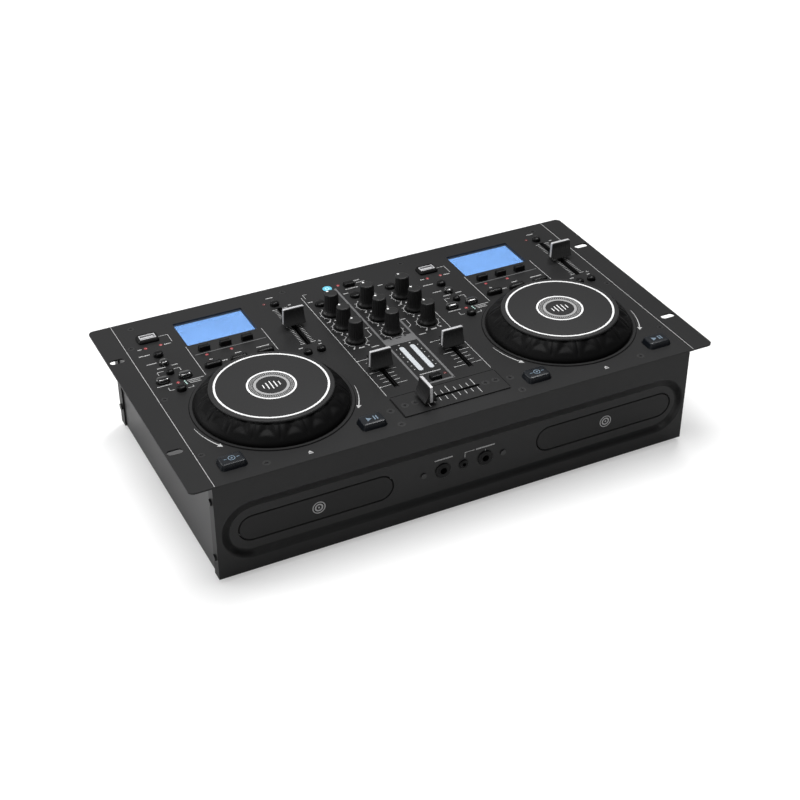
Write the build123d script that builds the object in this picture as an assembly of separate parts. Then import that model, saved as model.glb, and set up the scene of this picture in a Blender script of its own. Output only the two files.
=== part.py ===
from build123d import *
from math import atan2, cos, degrees, pi, radians, sin, sqrt
import os

# Two-deck disc player with a built-in mixer for a 19 inch rack.
# +Z is up, the front panel faces -Y, and the origin is on the standing plane under the middle of the top plate.

# ---- overall sizes (mm) ----
PLATE_W = 482.6          # 19 inch rack width
PLATE_D = 260.0
PLATE_T = 1.5
PLATE_R = 5.0
EAR_W = 19.8             # plate beyond each side of the body
EDGE_D = 5.5             # plate beyond the front and the rear of the body
BODY_W = PLATE_W - 2 * EAR_W
BODY_D = PLATE_D - 2 * EDGE_D
BODY_H = 95.2            # below the top plate, without the feet
FOOT_H = 4.0
FOOT_R = 9.0
SHEET_T = 1.5            # front and rear panels
WALL_T = 1.2             # sides and floor
FLANGE_W = 10.0
DECK_X = 137.25          # half the distance between the two decks
DECKS = {"left": -DECK_X, "right": DECK_X}
LOADERS = {"left": -133.65, "right": 138.85}     # middles of the disc loaders

# ---- fits ----
KEY_GAP = 0.25           # key to the hole in the plate
SLIDE_GAP = 0.3          # tray to its rails, fader stem to its slot
RUN_GAP = 0.05           # shaft to bore, on the radius
SCREW_GAP = 0.1
PANEL_GAP = 0.5          # disc tray fascia to its opening
USB_GAP = 0.3
HUB_GAP = 0.3            # turntable to its motor, axle end to the jog plate
LEG_SINK = 0.5           # a leg or post into the sheet it stands on

BODY_Z = FOOT_H
UNDER_Z = BODY_Z + BODY_H                  # underside of the top plate
TOP_Z = UNDER_Z + PLATE_T                  # its upper face
FRONT_Y = -BODY_D / 2
REAR_Y = BODY_D / 2
SIDE_X = BODY_W / 2 - SHEET_T              # outer face of the side walls
FLOOR_Z = BODY_Z + WALL_T
THROUGH = (UNDER_Z - 1, TOP_Z + 3)         # heights that cut through the top plate

# ---- rack slots and screws ----
RACK_X = PLATE_W / 2 - 8.75
RACK_Y = 73.025
RACK_SLOT = (13.5, 6.8)
SCREW_HEAD_R = 3.0
SCREW_SINK = 0.8
SCREW_R = 1.4
SCREW_L = 7.0
SCREW_CROSS = (3.2, 0.7, 0.5)              # length, width, depth
CROSS_SCREW_L = 6.0
FLANGE_HEAD_T = 1.6
SIDE_INSET = 4.5                           # screw rows to the outer faces of the side walls
EDGE_INSET = 6.0                           # screw rows to the faces of the body
TAB_W = 14.0
TAB_D = 11.0
REAR_SCREW_X = (-205.5, -60.5, 60.5, 205.5)
FRONT_SCREW_X = (-173.5, -56.0, 56.0, 173.5)
SIDE_SCREW_Y = (-86.5, 0.0, 87.0)
INNER_SCREWS = ((-56.0, -98.0), (56.0, -98.0))
FLANGE_SCREW_Z = (19.0, 74.5)              # above the bottom of the body
NUT_T = 2.4

# ---- keys: x and y from the deck's middle, width, depth, height, corner radius ----
ROUND = 99.0                               # a corner radius that means fully round
DECK_KEYS = (
    (-21.6, 58.3, 10.0, 5.5, 5.0, 1.0),
    (-2.1, 58.3, 10.0, 5.5, 5.0, 1.0),
    (18.0, 58.3, 10.0, 5.5, 5.0, 1.0),
    (-23.6, 30.8, 15.5, 6.5, 4.6, ROUND),
    (0.0, 30.8, 15.5, 6.5, 4.6, ROUND),
    (24.4, 30.8, 15.5, 6.5, 4.6, ROUND),
    (-60.5, 66.3, 8.2, 8.2, 4.5, ROUND),
    (-60.5, 51.8, 8.4, 8.4, 4.5, ROUND),
    (-60.5, 36.0, 6.6, 6.6, 4.0, ROUND),
    (-70.4, 25.8, 12.0, 8.0, 4.5, ROUND),
    (-50.6, 25.8, 12.0, 8.0, 4.5, ROUND),
    (-60.3, 8.0, 8.4, 8.4, 4.5, ROUND),
    (62.0, 101.0, 8.0, 8.0, 4.0, ROUND),
    (56.6, 12.9, 7.6, 7.6, 4.0, ROUND),
    (69.2, 12.9, 7.6, 7.6, 4.0, ROUND),
)
CUE_KEY = (-60.5, -106.75, 22.5, 16.5, 5.0, 4.0)
PLAY_KEY = (60.3, -106.75, 22.5, 16.5, 5.0, 4.0)
MIXER_KEYS = (
    (-38.0, 83.0, 10.0, 10.0, 3.5, ROUND),
    (-2.8, 83.0, 10.0, 10.0, 3.5, ROUND),
    (32.5, 83.0, 10.0, 10.0, 3.5, ROUND),
    (0.0, 103.5, 10.0, 6.5, 3.5, 1.0),
    (0.0, -70.0, 10.0, 6.5, 3.5, 1.0),
)
KEY_TRAVEL = 1.0
KEY_LIP = 1.0                              # retaining lip round a key, below the plate
KEY_LIP_T = 1.0
KEY_LIP_GAP = 0.15
KEY_EDGE = 0.6
KEY_LEAN = 1.25                            # sides of a big key, from foot to top
SWITCH_W = 6.0
SWITCH_H = 3.5
SWITCH_GAP = 0.3
BOARD_T = 1.6
STUD_R = 2.0
KEY_LIP_Z = UNDER_Z - KEY_LIP_GAP - KEY_LIP_T
BOARD_Z = KEY_LIP_Z - KEY_TRAVEL - SWITCH_GAP - SWITCH_H     # upper face of the control boards

# ---- light emitting diodes: x, y, radius ----
DECK_LEDS = (
    (-66.7, 82.0, 1.5), (-53.0, 82.0, 1.5), (-22.5, 49.5, 1.5), (0.0, 49.0, 1.5),
    (-59.5, 19.2, 1.5), (-53.8, 18.9, 0.7), (-53.6, 16.6, 0.7), (-53.4, 14.3, 0.7), (53.4, 105.5, 1.5),
)
MIXER_LEDS = ((-9.5, 107.0, 1.5), (10.5, -67.0, 1.5))
LED_RISE = 0.4

# ---- jog wheels ----
JOG_Y = -43.0
JOG_R = 64.5
JOG_TOP_R = 53.0
JOG_H = 17.2
JOG_LIFT = 0.5
JOG_SKIRT = 4.0
JOG_WALL = 6.0
JOG_PLATE_R = 52.0
JOG_PLATE_T = 2.0
FLUTES = 17
FLUTE_R = 8.5
FLUTE_DEPTH = 3.0
AXLE_R = 4.0
AXLE_BASE_R = 8.5
HUB_WALL = 4.0
POST_FOOT = (5.0, 3.0)                     # beyond the base, thickness
WELL_R = 65.8
WELL_BEAD = 2.2
WELL_BEAD_H = 0.8

# ---- faders: place, travel, travel axis and where the cap rests ----
CAP_W = 19.5
CAP_D = 12.0
CAP_TOP_D = 4.0
CAP_Z = 3.8
CAP_H = 14.5
CAP_FOOT = 1.5                             # upright part of a cap's side
CAP_PINCH = 0.28                           # how far in the side bows, and how high up
CAP_PINCH_Z = 0.55
STEM_W = 8.0
STEM_T = 1.6
STEM_DEPTH = 5.0
FADER_W = 12.0
FADER_H = 10.0
FADER_END = 1.5
FADER_FLOOR = 1.5
PLATE_SLOT_W = 2.8
PLATE_SLOT_L = STEM_W + 2 * SLIDE_GAP + 0.4      # slot beyond the travel
PITCH_X, PITCH_Y, PITCH_TRAVEL = 63.2, 60.2, 60.0
CHANNEL_X, CHANNEL_Y, CHANNEL_TRAVEL = 35.25, -40.7, 45.0
CHANNEL_REST = (-36.0, -33.0)
CROSS_Y, CROSS_TRAVEL, CROSS_REST = -97.0, 46.0, -23.0
CROSS_PLATE = (98.8, 30.5)
CROSS_PLATE_Y = -96.75
CROSS_PLATE_T = 1.0
CROSS_HOLE = (76.0, 18.0)
CROSS_SCREW_X = (33.0, 42.5)
PITCHES = {name: dx + PITCH_X for name, dx in DECKS.items()}
CHANNELS = {"left": (-CHANNEL_X, CHANNEL_REST[0]), "right": (CHANNEL_X, CHANNEL_REST[1])}

# ---- rotary controls ----
KNOB_X = (-35.2, 0.0, 35.2)
KNOB_Y = (12.9, 38.5, 64.0)
KNOB_H = 21.5
KNOB_LIFT = 1.0
KNOB_R = 6.75
KNOB_TOP_R = 6.0
KNOB_SKIRT_R = 8.25
KNOB_SKIRT_H = 3.5
KNOB_SHAFT_R = 3.0
POT_W = 17.0
POT_H = 10.0
BUSH_WALL = 1.5

# ---- displays and meters ----
LCD_Y = 90.0
LCD_WINDOW = (65.0, 40.0)
LENS_MARGIN = 3.0
LENS_T = 1.2
LCD_MARGIN = 5.0
LCD_T = 8.0
LCD_EAR = 5.0
LCD_Z = UNDER_Z - LENS_T                   # face of the display under its lens
LCD_EAR_Z = LCD_Z - 2
METER_X = 5.2
METER_Y = (-55.0, -14.5)
METER_W = 4.4
METER_LIP = 1.0
METER_GAP = 0.15

# ---- sockets on the top plate ----
USB_X, USB_Y = -60.4, 96.0
USB_BEZEL = (19.0, 14.0, 2.5)
USB_SHELL = (14.2, 7.0)
USB_BORE = (12.6, 5.2)
USB_TONGUE = (11.2, 1.9)
USB_HOLE = (USB_SHELL[0] + 2 * USB_GAP, USB_SHELL[1] + 2 * USB_GAP)
USB_DEPTH = 12.0
USB_FLANGE = 2.0

# ---- front panel ----
SLOT_Z = 45.0                              # middle of the recess, trays and sockets
RECESS_X = 1.3
RECESS_HALF = BODY_W / 2 - 2.9
RECESS_R = 28.5
RECESS_FLOOR_R = 20.5
RECESS_DEPTH = 2.0
RECESS_BACK = 1.5                          # sheet behind the recess, inside its rim
MIC_X = -19.5
AUX_X = 0.0
PHONES_X = 20.5
JACK_R = 3.2
AUX_R = 1.8
JACK_SCREW_X = 37.7
JACK_BUSH_R = 4.8
AUX_BUSH_R = 3.0
JACK_BODY = (15.0, 15.0, 24.0)
AUX_BODY = (11.0, 11.0, 14.0)

# ---- disc loaders ----
DISC_R = 60.0
DISC_GAP = 0.5
SMALL_DISC_R = 40.5
FINGER_R = 14.0
TRAY_HALF = DISC_R + 6.0
FASCIA = (2 * TRAY_HALF + 3.6, 23.6, 3.0)
TRAY_Z = 40.0
TRAY_FLOOR = 2.0
TRAY_H = 6.0
TRAY_BACK = 28.0
TRAY_TRAVEL = 142.0
RAIL_W = 9.0
RAIL_BACK = 60.0
SPINDLE_Y = -45.0
TRAY_SLOT_R = 23.0
FRAME_T = 1.6
FRAME_FLOOR_Z = 28.0
FRAME_H = 28.0
LEDGE_W = 4.4
LEDGE_T = 1.5
LEG_R = 4.0
BRIDGE_D = 24.0
CLAMP_R = 12.0
CLAMP_LIFT = 5.0                           # above the tray
MOTOR_R = 11.0
SPINDLE_R = 1.5
MODULE = 1.0
GEAR_TEETH = 24
GEAR_T = 3.5
GEAR_Y = -100.0
GEAR_POST_R = 2.0
GEAR_SEAT_R = 4.5
BACKLASH = 0.2
TOOTH_SLOPE = 0.364
ROOT = 1.25                                # depth below the pitch line, in modules
RACK_LINE_X = -TRAY_HALF + 10
RACK_BODY = 2.75
RACK_H = 4.0
HUB_R = 14.0
HUB_H = 5.0
SLED = (34.0, 26.0, 7.0)
SLED_NEAR = 28.0
SLED_STROKE = 33.0
ROD_R = 1.5
ROD_X = 20.0
ROD_Z = 33.0
HUB_Z = TRAY_Z - 3.0
SLED_ROD_Y = (SLED_NEAR - SLED[1] / 2 - 4, SLED_NEAR + SLED_STROKE + SLED[1] / 2 + 1)
PITCH_R = MODULE * GEAR_TEETH / 2
GEAR_X = RACK_LINE_X + PITCH_R + BACKLASH
GEAR_Z = TRAY_Z - SLIDE_GAP - GEAR_T

# ---- rear ----
INLET_X, INLET_Z = -185.0, 32.0
INLET = (48.0, 28.0, 22.0)
INLET_BORE = (24.5, 16.5, 17.0)
INLET_NECK = (8.0, 4.0)                    # flange over the body, both sides together
INLET_PINS = ((-7.0, -2.0), (0.0, 2.0), (7.0, -2.0))
ROCKER_X = -145.0
ROCKER = (12.0, 24.0, 7.0)
ROCKER_TILT = 8.0
ROCKER_PIN_R = 1.5
ROCKER_WALL = 5.0                          # housing over the rocker, both sides together
ROCKER_RIM = (2.0, 1.5)
ROCKER_GAP = 0.4
ROCKER_DEPTH = 16.0
ROCKER_PIVOT = 3.0                         # behind the rear face
RCA_X = (10.0, 40.0, 70.0, 110.0, 140.0)
RCA_Z = (25.0, 39.0)
RCA_R = 4.2
RCA_BODY = 12.0
RCA_WALLS = (0.9, 1.6)                     # shell, and shell with the insulator
RCA_RISE = 5.5                             # level with the plate's rear edge
MAIN_BOARD = (-60.0, 190.0, REAR_Y - 52.5, REAR_Y - 3.5)
MAIN_BOARD_Z = 13.0
CHIPS = ((-30.0, -34.5, 20.0, 2.2), (20.0, -36.5, 14.0, 1.8), (75.0, -36.5, 20.0, 2.2), (130.0, -36.5, 14.0, 1.8))
POWER_BOARD = (-170.0, -85.0, REAR_Y - 52.5, REAR_Y - 6.5)
POWER_BOARD_Z = 11.0
TRANSFORMER = (25.0, 8.0, 30.0, 28.0, 25.0)      # from the board's corner, width, depth, height
CAPACITORS = ((-14.0, 14.0), (-14.0, 33.0))
CAPACITOR = (8.0, 27.0)


# ---- shapes ----
def block(x0, x1, y0, y1, z0, z1):
    return Pos((x0 + x1) / 2, (y0 + y1) / 2, (z0 + z1) / 2) * Box(x1 - x0, y1 - y0, z1 - z0)


def slab(x, y, size, z0, z1):
    return block(x - size[0] / 2, x + size[0] / 2, y - size[1] / 2, y + size[1] / 2, z0, z1)


def slab_y(x, z, size, y0, y1):
    return block(x - size[0] / 2, x + size[0] / 2, y0, y1, z - size[1] / 2, z + size[1] / 2)


def rod(x, y, r, z0, z1):
    return Pos(x, y, (z0 + z1) / 2) * Cylinder(r, z1 - z0)


def rod_y(x, z, r, y0, y1):
    return Pos(x, (y0 + y1) / 2, z) * Rot(90, 0, 0) * Cylinder(r, y1 - y0)


def rod_x(y, z, r, x0, x1):
    return Pos((x0 + x1) / 2, y, z) * Rot(0, 90, 0) * Cylinder(r, x1 - x0)


def outline(w, d, corner):
    # a circle, an oval or a rectangle with rounded corners
    if corner * 2 >= min(w, d):
        return Circle(w / 2) if w == d else SlotOverall(w, d)
    return RectangleRounded(w, d, corner)


def pad(x, y, w, d, corner, z0, z1):
    return Pos(x, y, z0) * extrude(outline(w, d, corner), z1 - z0)


def slot(x, y, length, width, z0, z1, along_y=False):
    turn = Rot(0, 0, 90) if along_y else Rot(0, 0, 0)
    return Pos(x, y, z0) * turn * extrude(SlotOverall(length, width), z1 - z0)


def save(name, *shapes):
    solids = [solid for shape in shapes for solid in shape.solids()]
    export_step(solids[0] if len(solids) == 1 else Compound(solids), f"parts/{name}.step")
    print(name, len(solids), round(sum(solid.volume for solid in solids), 1))


# ---- keys ----
def key(x, y, w, d, h, corner):
    cap = pad(x, y, w, d, corner, KEY_LIP_Z, TOP_Z + h)
    cap = fillet(cap.faces().sort_by(Axis.Z)[-1].edges(), KEY_EDGE)
    return cap + key_lip(x, y, w, d, corner)


def key_lip(x, y, w, d, corner):
    return pad(x, y, w + 2 * KEY_LIP, d + 2 * KEY_LIP, corner + KEY_LIP, KEY_LIP_Z, KEY_LIP_Z + KEY_LIP_T)


def big_key(x, y, w, d, h, corner):
    # the sides lean in above the plate
    base = pad(x, y, w, d, corner, KEY_LIP_Z, TOP_Z + 1)
    top = Pos(x, y, TOP_Z + h) * RectangleRounded(w - 2 * KEY_LEAN, d - 2 * KEY_LEAN, corner - KEY_LEAN / 2)
    upper = loft([Pos(x, y, TOP_Z + 1) * RectangleRounded(w, d, corner), top])
    upper = fillet(upper.faces().sort_by(Axis.Z)[-1].edges(), KEY_EDGE)
    return base + upper + key_lip(x, y, w, d, corner)


def key_hole(x, y, w, d, h, corner):
    return pad(x, y, w + 2 * KEY_GAP, d + 2 * KEY_GAP, corner + KEY_GAP, *THROUGH)


def key_switch(x, y, *_):
    return slab(x, y, (SWITCH_W, SWITCH_W), BOARD_Z, BOARD_Z + SWITCH_H)


def moved(item, dx):
    return (item[0] + dx,) + tuple(item[1:])


def deck_items(items):
    return [moved(item, dx) for dx in DECKS.values() for item in items]


ALL_KEYS = deck_items(DECK_KEYS + (CUE_KEY, PLAY_KEY)) + list(MIXER_KEYS)
ALL_LEDS = deck_items(DECK_LEDS) + list(MIXER_LEDS)


# ---- screws ----
PLATE_SCREWS = [(x, REAR_Y - EDGE_INSET) for x in REAR_SCREW_X]
PLATE_SCREWS += [(x, FRONT_Y + EDGE_INSET) for x in FRONT_SCREW_X]
PLATE_SCREWS += [(side * (SIDE_X - SIDE_INSET), y) for side in (-1, 1) for y in SIDE_SCREW_Y]


def sunk_screw(x, y, top, length=SCREW_L):
    head = rod(x, y, SCREW_HEAD_R, top - SCREW_SINK, top)
    across, width, depth = SCREW_CROSS
    cross = slab(x, y, (across, width), top - depth, top + 1) + slab(x, y, (width, across), top - depth, top + 1)
    return head + rod(x, y, SCREW_R, top - length, top - SCREW_SINK) - cross


def sunk_hole(x, y, top, depth):
    return rod(x, y, SCREW_HEAD_R + SCREW_GAP, top - SCREW_SINK, top + 1) + rod(
        x, y, SCREW_R + SCREW_GAP, top - depth, top)


def nut(x, y):
    bore = rod(x, y, SCREW_R + SCREW_GAP, UNDER_Z - NUT_T - 1, UNDER_Z + 1)
    return rod(x, y, SCREW_HEAD_R, UNDER_Z - NUT_T, UNDER_Z) - bore


def flange_rods(r, x0, x1):
    # one along each of the eight screws that join the panels to the side walls
    return [rod_x(y, BODY_Z + z, r, *sorted((side * x0, side * x1)))
            for side in (-1, 1)
            for y in (FRONT_Y + EDGE_INSET, REAR_Y - EDGE_INSET)
            for z in FLANGE_SCREW_Z]


def flange_screws():
    face = BODY_W / 2
    heads = flange_rods(SCREW_HEAD_R, face, face + FLANGE_HEAD_T)
    shanks = flange_rods(SCREW_R, face - 6, face)
    return [head + shank for head, shank in zip(heads, shanks)]


def flange_holes():
    return flange_rods(SCREW_R + SCREW_GAP, SIDE_X - 3, SIDE_X + 5)


def jack_screw(x):
    face = FRONT_Y + RECESS_DEPTH
    return rod_y(x, SLOT_Z, SCREW_HEAD_R - 0.5, face - 1, face) + rod_y(x, SLOT_Z, SCREW_R, face, face + 6)


# ---- control boards, hung on studs under the plate ----
DECK_BOARDS = (
    ((-78.0, -45.5, 2.0, 104.0), (-45.5, 40.0, 23.0, 63.0)),
    ((-75.0, 75.0, -114.0, -99.5),),
    ((49.0, 77.0, 6.0, 19.5),),
    ((49.0, 70.0, 96.5, 110.0),),
)
DECK_STUDS = (
    (-74.5, 14.0), (-74.5, 100.0), (-48.5, 100.0), (-49.0, 40.0), (36.5, 27.0), (36.5, 59.0),
    (-40.0, -107.0), (0.0, -107.0), (40.0, -107.0), (63.0, 9.0), (51.0, 8.0), (51.5, 99.0), (67.5, 107.5),
)
MIXER_BOARDS = (
    ((-46.0, 46.0, 76.0, 90.0),),
    ((-14.0, 14.0, 97.0, 111.0),),
    ((-13.0, 14.0, -76.0, -63.0),),
    ((-13.0, 13.0, -60.0, -8.0),),
)
MIXER_STUDS = (
    (-20.0, 83.0), (15.0, 83.0), (-11.5, 99.5), (11.5, 99.5), (11.5, 108.5),
    (-10.0, -70.0), (11.5, -73.5), (-10.5, -35.0), (10.5, -35.0),
)
ALL_STUDS = deck_items(DECK_STUDS) + list(MIXER_STUDS)


def board(rectangles, dx):
    sheet = None
    for x0, x1, y0, y1 in rectangles:
        piece = block(x0 + dx, x1 + dx, y0, y1, BOARD_Z - BOARD_T, BOARD_Z)
        sheet = piece if sheet is None else sheet + piece
    return sheet


def led(x, y, r):
    body = rod(x, y, r, BOARD_Z, TOP_Z + LED_RISE)
    return fillet(body.faces().sort_by(Axis.Z)[-1].edges(), min(LED_RISE, r * 0.8))


def light_bar(side):
    mid = (METER_Y[0] + METER_Y[1]) / 2
    return slab(side * METER_X, mid, (METER_W, METER_Y[1] - METER_Y[0]), BOARD_Z, UNDER_Z - METER_LIP)


def meter_lens(side):
    mid = (METER_Y[0] + METER_Y[1]) / 2
    length = METER_Y[1] - METER_Y[0]
    bar = slot(side * METER_X, mid, length, METER_W, UNDER_Z - METER_LIP, TOP_Z + 0.2, True)
    return bar + slot(side * METER_X, mid, length + 2 * METER_LIP, METER_W + 2 * METER_LIP,
                      UNDER_Z - METER_LIP, UNDER_Z, True)


# ---- faders ----
def fader_cap(x, y, along_y):
    half, top_half = CAP_D / 2, CAP_TOP_D / 2
    pinch, pinch_z = top_half + (half - top_half) * CAP_PINCH, CAP_H * CAP_PINCH_Z
    front = Line((half, 0), (half, CAP_FOOT))
    front_bow = ThreePointArc((half, CAP_FOOT), (pinch, pinch_z), (top_half, CAP_H))
    crown = Line((top_half, CAP_H), (-top_half, CAP_H))
    back_bow = ThreePointArc((-top_half, CAP_H), (-pinch, pinch_z), (-half, CAP_FOOT))
    back = Line((-half, CAP_FOOT), (-half, 0))
    base = Line((-half, 0), (half, 0))
    face = make_face(Curve() + [front, front_bow, crown, back_bow, back, base])
    cap = extrude(Plane.YZ * face, CAP_W / 2, both=True)
    cap = Pos(0, 0, TOP_Z + CAP_Z) * cap
    stem = block(-STEM_T / 2, STEM_T / 2, -STEM_W / 2, STEM_W / 2, UNDER_Z - STEM_DEPTH, TOP_Z + CAP_Z)
    whole = cap + stem
    return Pos(x, y, 0) * (whole if along_y else Rot(0, 0, 90) * whole)


def fader_body(x, y, travel, along_y, top=UNDER_Z):
    length = travel + STEM_W + 2 * FADER_END
    gap = STEM_T + 2 * SLIDE_GAP
    case = Box(FADER_W, length, FADER_H) - Pos(0, 0, FADER_H / 2) * Box(
        gap, travel + STEM_W + 2 * SLIDE_GAP, 2 * (FADER_H - FADER_FLOOR))
    return Pos(x, y, top - FADER_H / 2) * (case if along_y else Rot(0, 0, 90) * case)


# ---- knobs ----
def knob(x, y):
    z = TOP_Z + KNOB_LIFT
    top = TOP_Z + KNOB_H
    outline_points = [
        (0, z), (KNOB_SKIRT_R, z), (KNOB_SKIRT_R, z + 0.8), (KNOB_R + 0.5, z + KNOB_SKIRT_H - 1),
        (KNOB_R, z + KNOB_SKIRT_H), (KNOB_TOP_R, top - 0.8), (KNOB_TOP_R - 0.8, top), (0, top),
    ]
    body = revolve(Plane.XZ * make_face(Polyline(*outline_points, close=True)), Axis.Z)
    shaft = rod(0, 0, KNOB_SHAFT_R, UNDER_Z - POT_H + 2, z)
    return Pos(x, y, 0) * (body + shaft)


def potentiometer(x, y):
    case = slab(x, y, (POT_W, POT_W), UNDER_Z - POT_H, UNDER_Z)
    bush = rod(x, y, KNOB_SHAFT_R + RUN_GAP + BUSH_WALL, UNDER_Z, TOP_Z)
    return case + bush - rod(x, y, KNOB_SHAFT_R + RUN_GAP, UNDER_Z - POT_H + 1.5, TOP_Z + 1)


# ---- jog wheels ----
def jog_wheel(dx):
    low, high = TOP_Z + JOG_LIFT, TOP_Z + JOG_H - JOG_PLATE_T
    skirt = TOP_Z + JOG_SKIRT
    bore = AXLE_R + RUN_GAP
    hub = bore + HUB_WALL
    deck = high - JOG_PLATE_T
    profile = Polyline(
        (bore, low), (hub, low), (hub, deck - 1), (JOG_TOP_R - JOG_WALL, deck - 1),
        (JOG_R - JOG_WALL, skirt), (JOG_R - JOG_WALL, low), (JOG_R, low), (JOG_R, skirt),
        (JOG_TOP_R + 0.8, high - 0.8), (JOG_TOP_R, high), (bore, high), close=True)
    wheel = revolve(Plane.XZ * make_face(profile), Axis.Z)
    run, rise = JOG_R - JOG_TOP_R, high - skirt
    slant = degrees(atan2(run, rise))
    length = sqrt(run ** 2 + rise ** 2)
    outward = FLUTE_R - FLUTE_DEPTH
    mid = Pos((JOG_R + JOG_TOP_R) / 2 + outward * cos(radians(slant)), 0,
              (skirt + high) / 2 + outward * sin(radians(slant)))
    flute = mid * Rot(0, -slant, 0) * Cylinder(FLUTE_R, 2 * length)
    guard = rod(0, 0, JOG_R + 30, low - 30, skirt + 0.6)
    flute = flute - guard
    turn = 360 / FLUTES
    wheel = wheel - [Rot(0, 0, turn * i) * flute for i in range(FLUTES)]
    return Pos(dx, JOG_Y, 0) * wheel


def jog_plate(dx):
    top = TOP_Z + JOG_H
    disc = rod(0, 0, JOG_PLATE_R, top - JOG_PLATE_T, top)
    disc = fillet(disc.faces().sort_by(Axis.Z)[-1].edges(), JOG_PLATE_T * 0.6)
    return Pos(dx, JOG_Y, 0) * disc


def jog_post(dx):
    foot = rod(0, 0, AXLE_BASE_R + POST_FOOT[0], UNDER_Z - POST_FOOT[1], UNDER_Z)
    base = rod(0, 0, AXLE_BASE_R, UNDER_Z, TOP_Z + HUB_GAP)
    axle = rod(0, 0, AXLE_R, TOP_Z, TOP_Z + JOG_H - JOG_PLATE_T - 0.5)
    return Pos(dx, JOG_Y, 0) * (foot + base + axle)


# ---- top plate ----
def top_plate():
    plate = Pos(0, 0, UNDER_Z) * extrude(RectangleRounded(PLATE_W, PLATE_D, PLATE_R), PLATE_T)
    cuts = [slot(sx * RACK_X, sy * RACK_Y, *RACK_SLOT, *THROUGH) for sx in (-1, 1) for sy in (-1, 1)]
    cuts += [key_hole(*item) for item in ALL_KEYS]
    cuts += [rod(x, y, r + SCREW_GAP, *THROUGH) for x, y, r in ALL_LEDS]
    cuts += [sunk_hole(x, y, TOP_Z, PLATE_T + 2) for x, y in PLATE_SCREWS + list(INNER_SCREWS)]
    for dx in DECKS.values():
        cuts.append(pad(dx, LCD_Y, *LCD_WINDOW, 1.0, *THROUGH))
        cuts.append(rod(dx, JOG_Y, AXLE_BASE_R + SCREW_GAP, *THROUGH))
        cuts.append(slab(dx + USB_X, USB_Y, USB_HOLE, *THROUGH))
        cuts.append(slot(dx + PITCH_X, PITCH_Y, PITCH_TRAVEL + PLATE_SLOT_L, PLATE_SLOT_W, *THROUGH, True))
    for x, _ in CHANNELS.values():
        cuts.append(slot(x, CHANNEL_Y, CHANNEL_TRAVEL + PLATE_SLOT_L, PLATE_SLOT_W, *THROUGH, True))
    bush_hole = KNOB_SHAFT_R + RUN_GAP + BUSH_WALL + SCREW_GAP
    cuts += [rod(x, y, bush_hole, *THROUGH) for x in KNOB_X for y in KNOB_Y]
    mid = (METER_Y[0] + METER_Y[1]) / 2
    for side in (-1, 1):
        cuts.append(slot(side * METER_X, mid, METER_Y[1] - METER_Y[0] + 2 * METER_GAP,
                         METER_W + 2 * METER_GAP, *THROUGH, True))
        cuts.append(rod(side * CROSS_SCREW_X[1], CROSS_Y, SCREW_R + SCREW_GAP, *THROUGH))
    cuts.append(slab(0, CROSS_PLATE_Y, CROSS_HOLE, *THROUGH))
    plate = plate - cuts
    extras = [rod(x, y, STUD_R, BOARD_Z, UNDER_Z) for x, y in ALL_STUDS]
    for dx in DECKS.values():
        bead = rod(dx, JOG_Y, WELL_R + WELL_BEAD, TOP_Z, TOP_Z + WELL_BEAD_H)
        extras.append(bead - rod(dx, JOG_Y, WELL_R, TOP_Z - 1, TOP_Z + 2))
        for sx in (-1, 1):
            for sy in (-1, 1):
                x = dx + sx * (LCD_WINDOW[0] / 2 + LCD_MARGIN + LCD_EAR / 2)
                extras.append(rod(x, LCD_Y + sy * LCD_WINDOW[1] / 2, STUD_R, LCD_EAR_Z, UNDER_Z))
    return plate + extras


def crossfader_plate():
    top = TOP_Z + CROSS_PLATE_T
    plate = Pos(0, CROSS_PLATE_Y, TOP_Z) * extrude(RectangleRounded(*CROSS_PLATE, 1.5), CROSS_PLATE_T)
    cuts = [slot(0, CROSS_Y, CROSS_TRAVEL + PLATE_SLOT_L, PLATE_SLOT_W, TOP_Z - 1, top + 1)]
    cuts += [sunk_hole(side * x, CROSS_Y, top, 5) for side in (-1, 1) for x in CROSS_SCREW_X]
    return plate - cuts


def crossfader_body():
    # the ears carry the screws that hang it under its plate
    case = fader_body(0, CROSS_Y, CROSS_TRAVEL, False, TOP_Z)
    half = (CROSS_TRAVEL + STEM_W) / 2 + FADER_END
    for side in (-1, 1):
        x0, x1 = sorted((side * (half - 1), side * (CROSS_SCREW_X[0] + 3.5)))
        ear = block(x0, x1, CROSS_Y - 4, CROSS_Y + 4, TOP_Z - FADER_H, TOP_Z)
        case = case + ear - rod(side * CROSS_SCREW_X[0], CROSS_Y, SCREW_R + SCREW_GAP, TOP_Z - 8, TOP_Z + 1)
    return case


# ---- front panel, rear panel and tray ----
def stadium(half, radius):
    return SlotOverall(2 * half, 2 * radius)


def tabs(xs, face_y):
    inward = -1 if face_y > 0 else 1
    made = []
    for x in xs:
        y0, y1 = sorted((face_y, face_y + inward * TAB_D))
        made.append(block(x - TAB_W / 2, x + TAB_W / 2, y0, y1, UNDER_Z - SHEET_T, UNDER_Z))
    return made


def panel(face_y, xs):
    # an upright sheet with a flange round each side and tabs under the top plate
    inward = -1 if face_y > 0 else 1
    y0, y1 = sorted((face_y, face_y + inward * SHEET_T))
    sheet = block(-BODY_W / 2, BODY_W / 2, y0, y1, BODY_Z, UNDER_Z)
    f0, f1 = sorted((face_y, face_y + inward * FLANGE_W))
    for side in (-1, 1):
        x0, x1 = sorted((side * SIDE_X, side * BODY_W / 2))
        sheet = sheet + block(x0, x1, f0, f1, BODY_Z, UNDER_Z)
    sheet = sheet + tabs(xs, face_y)
    screw_y = face_y + inward * EDGE_INSET
    return sheet - [rod(x, screw_y, SCREW_R + SCREW_GAP, UNDER_Z - 3, UNDER_Z + 1) for x in xs]


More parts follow.
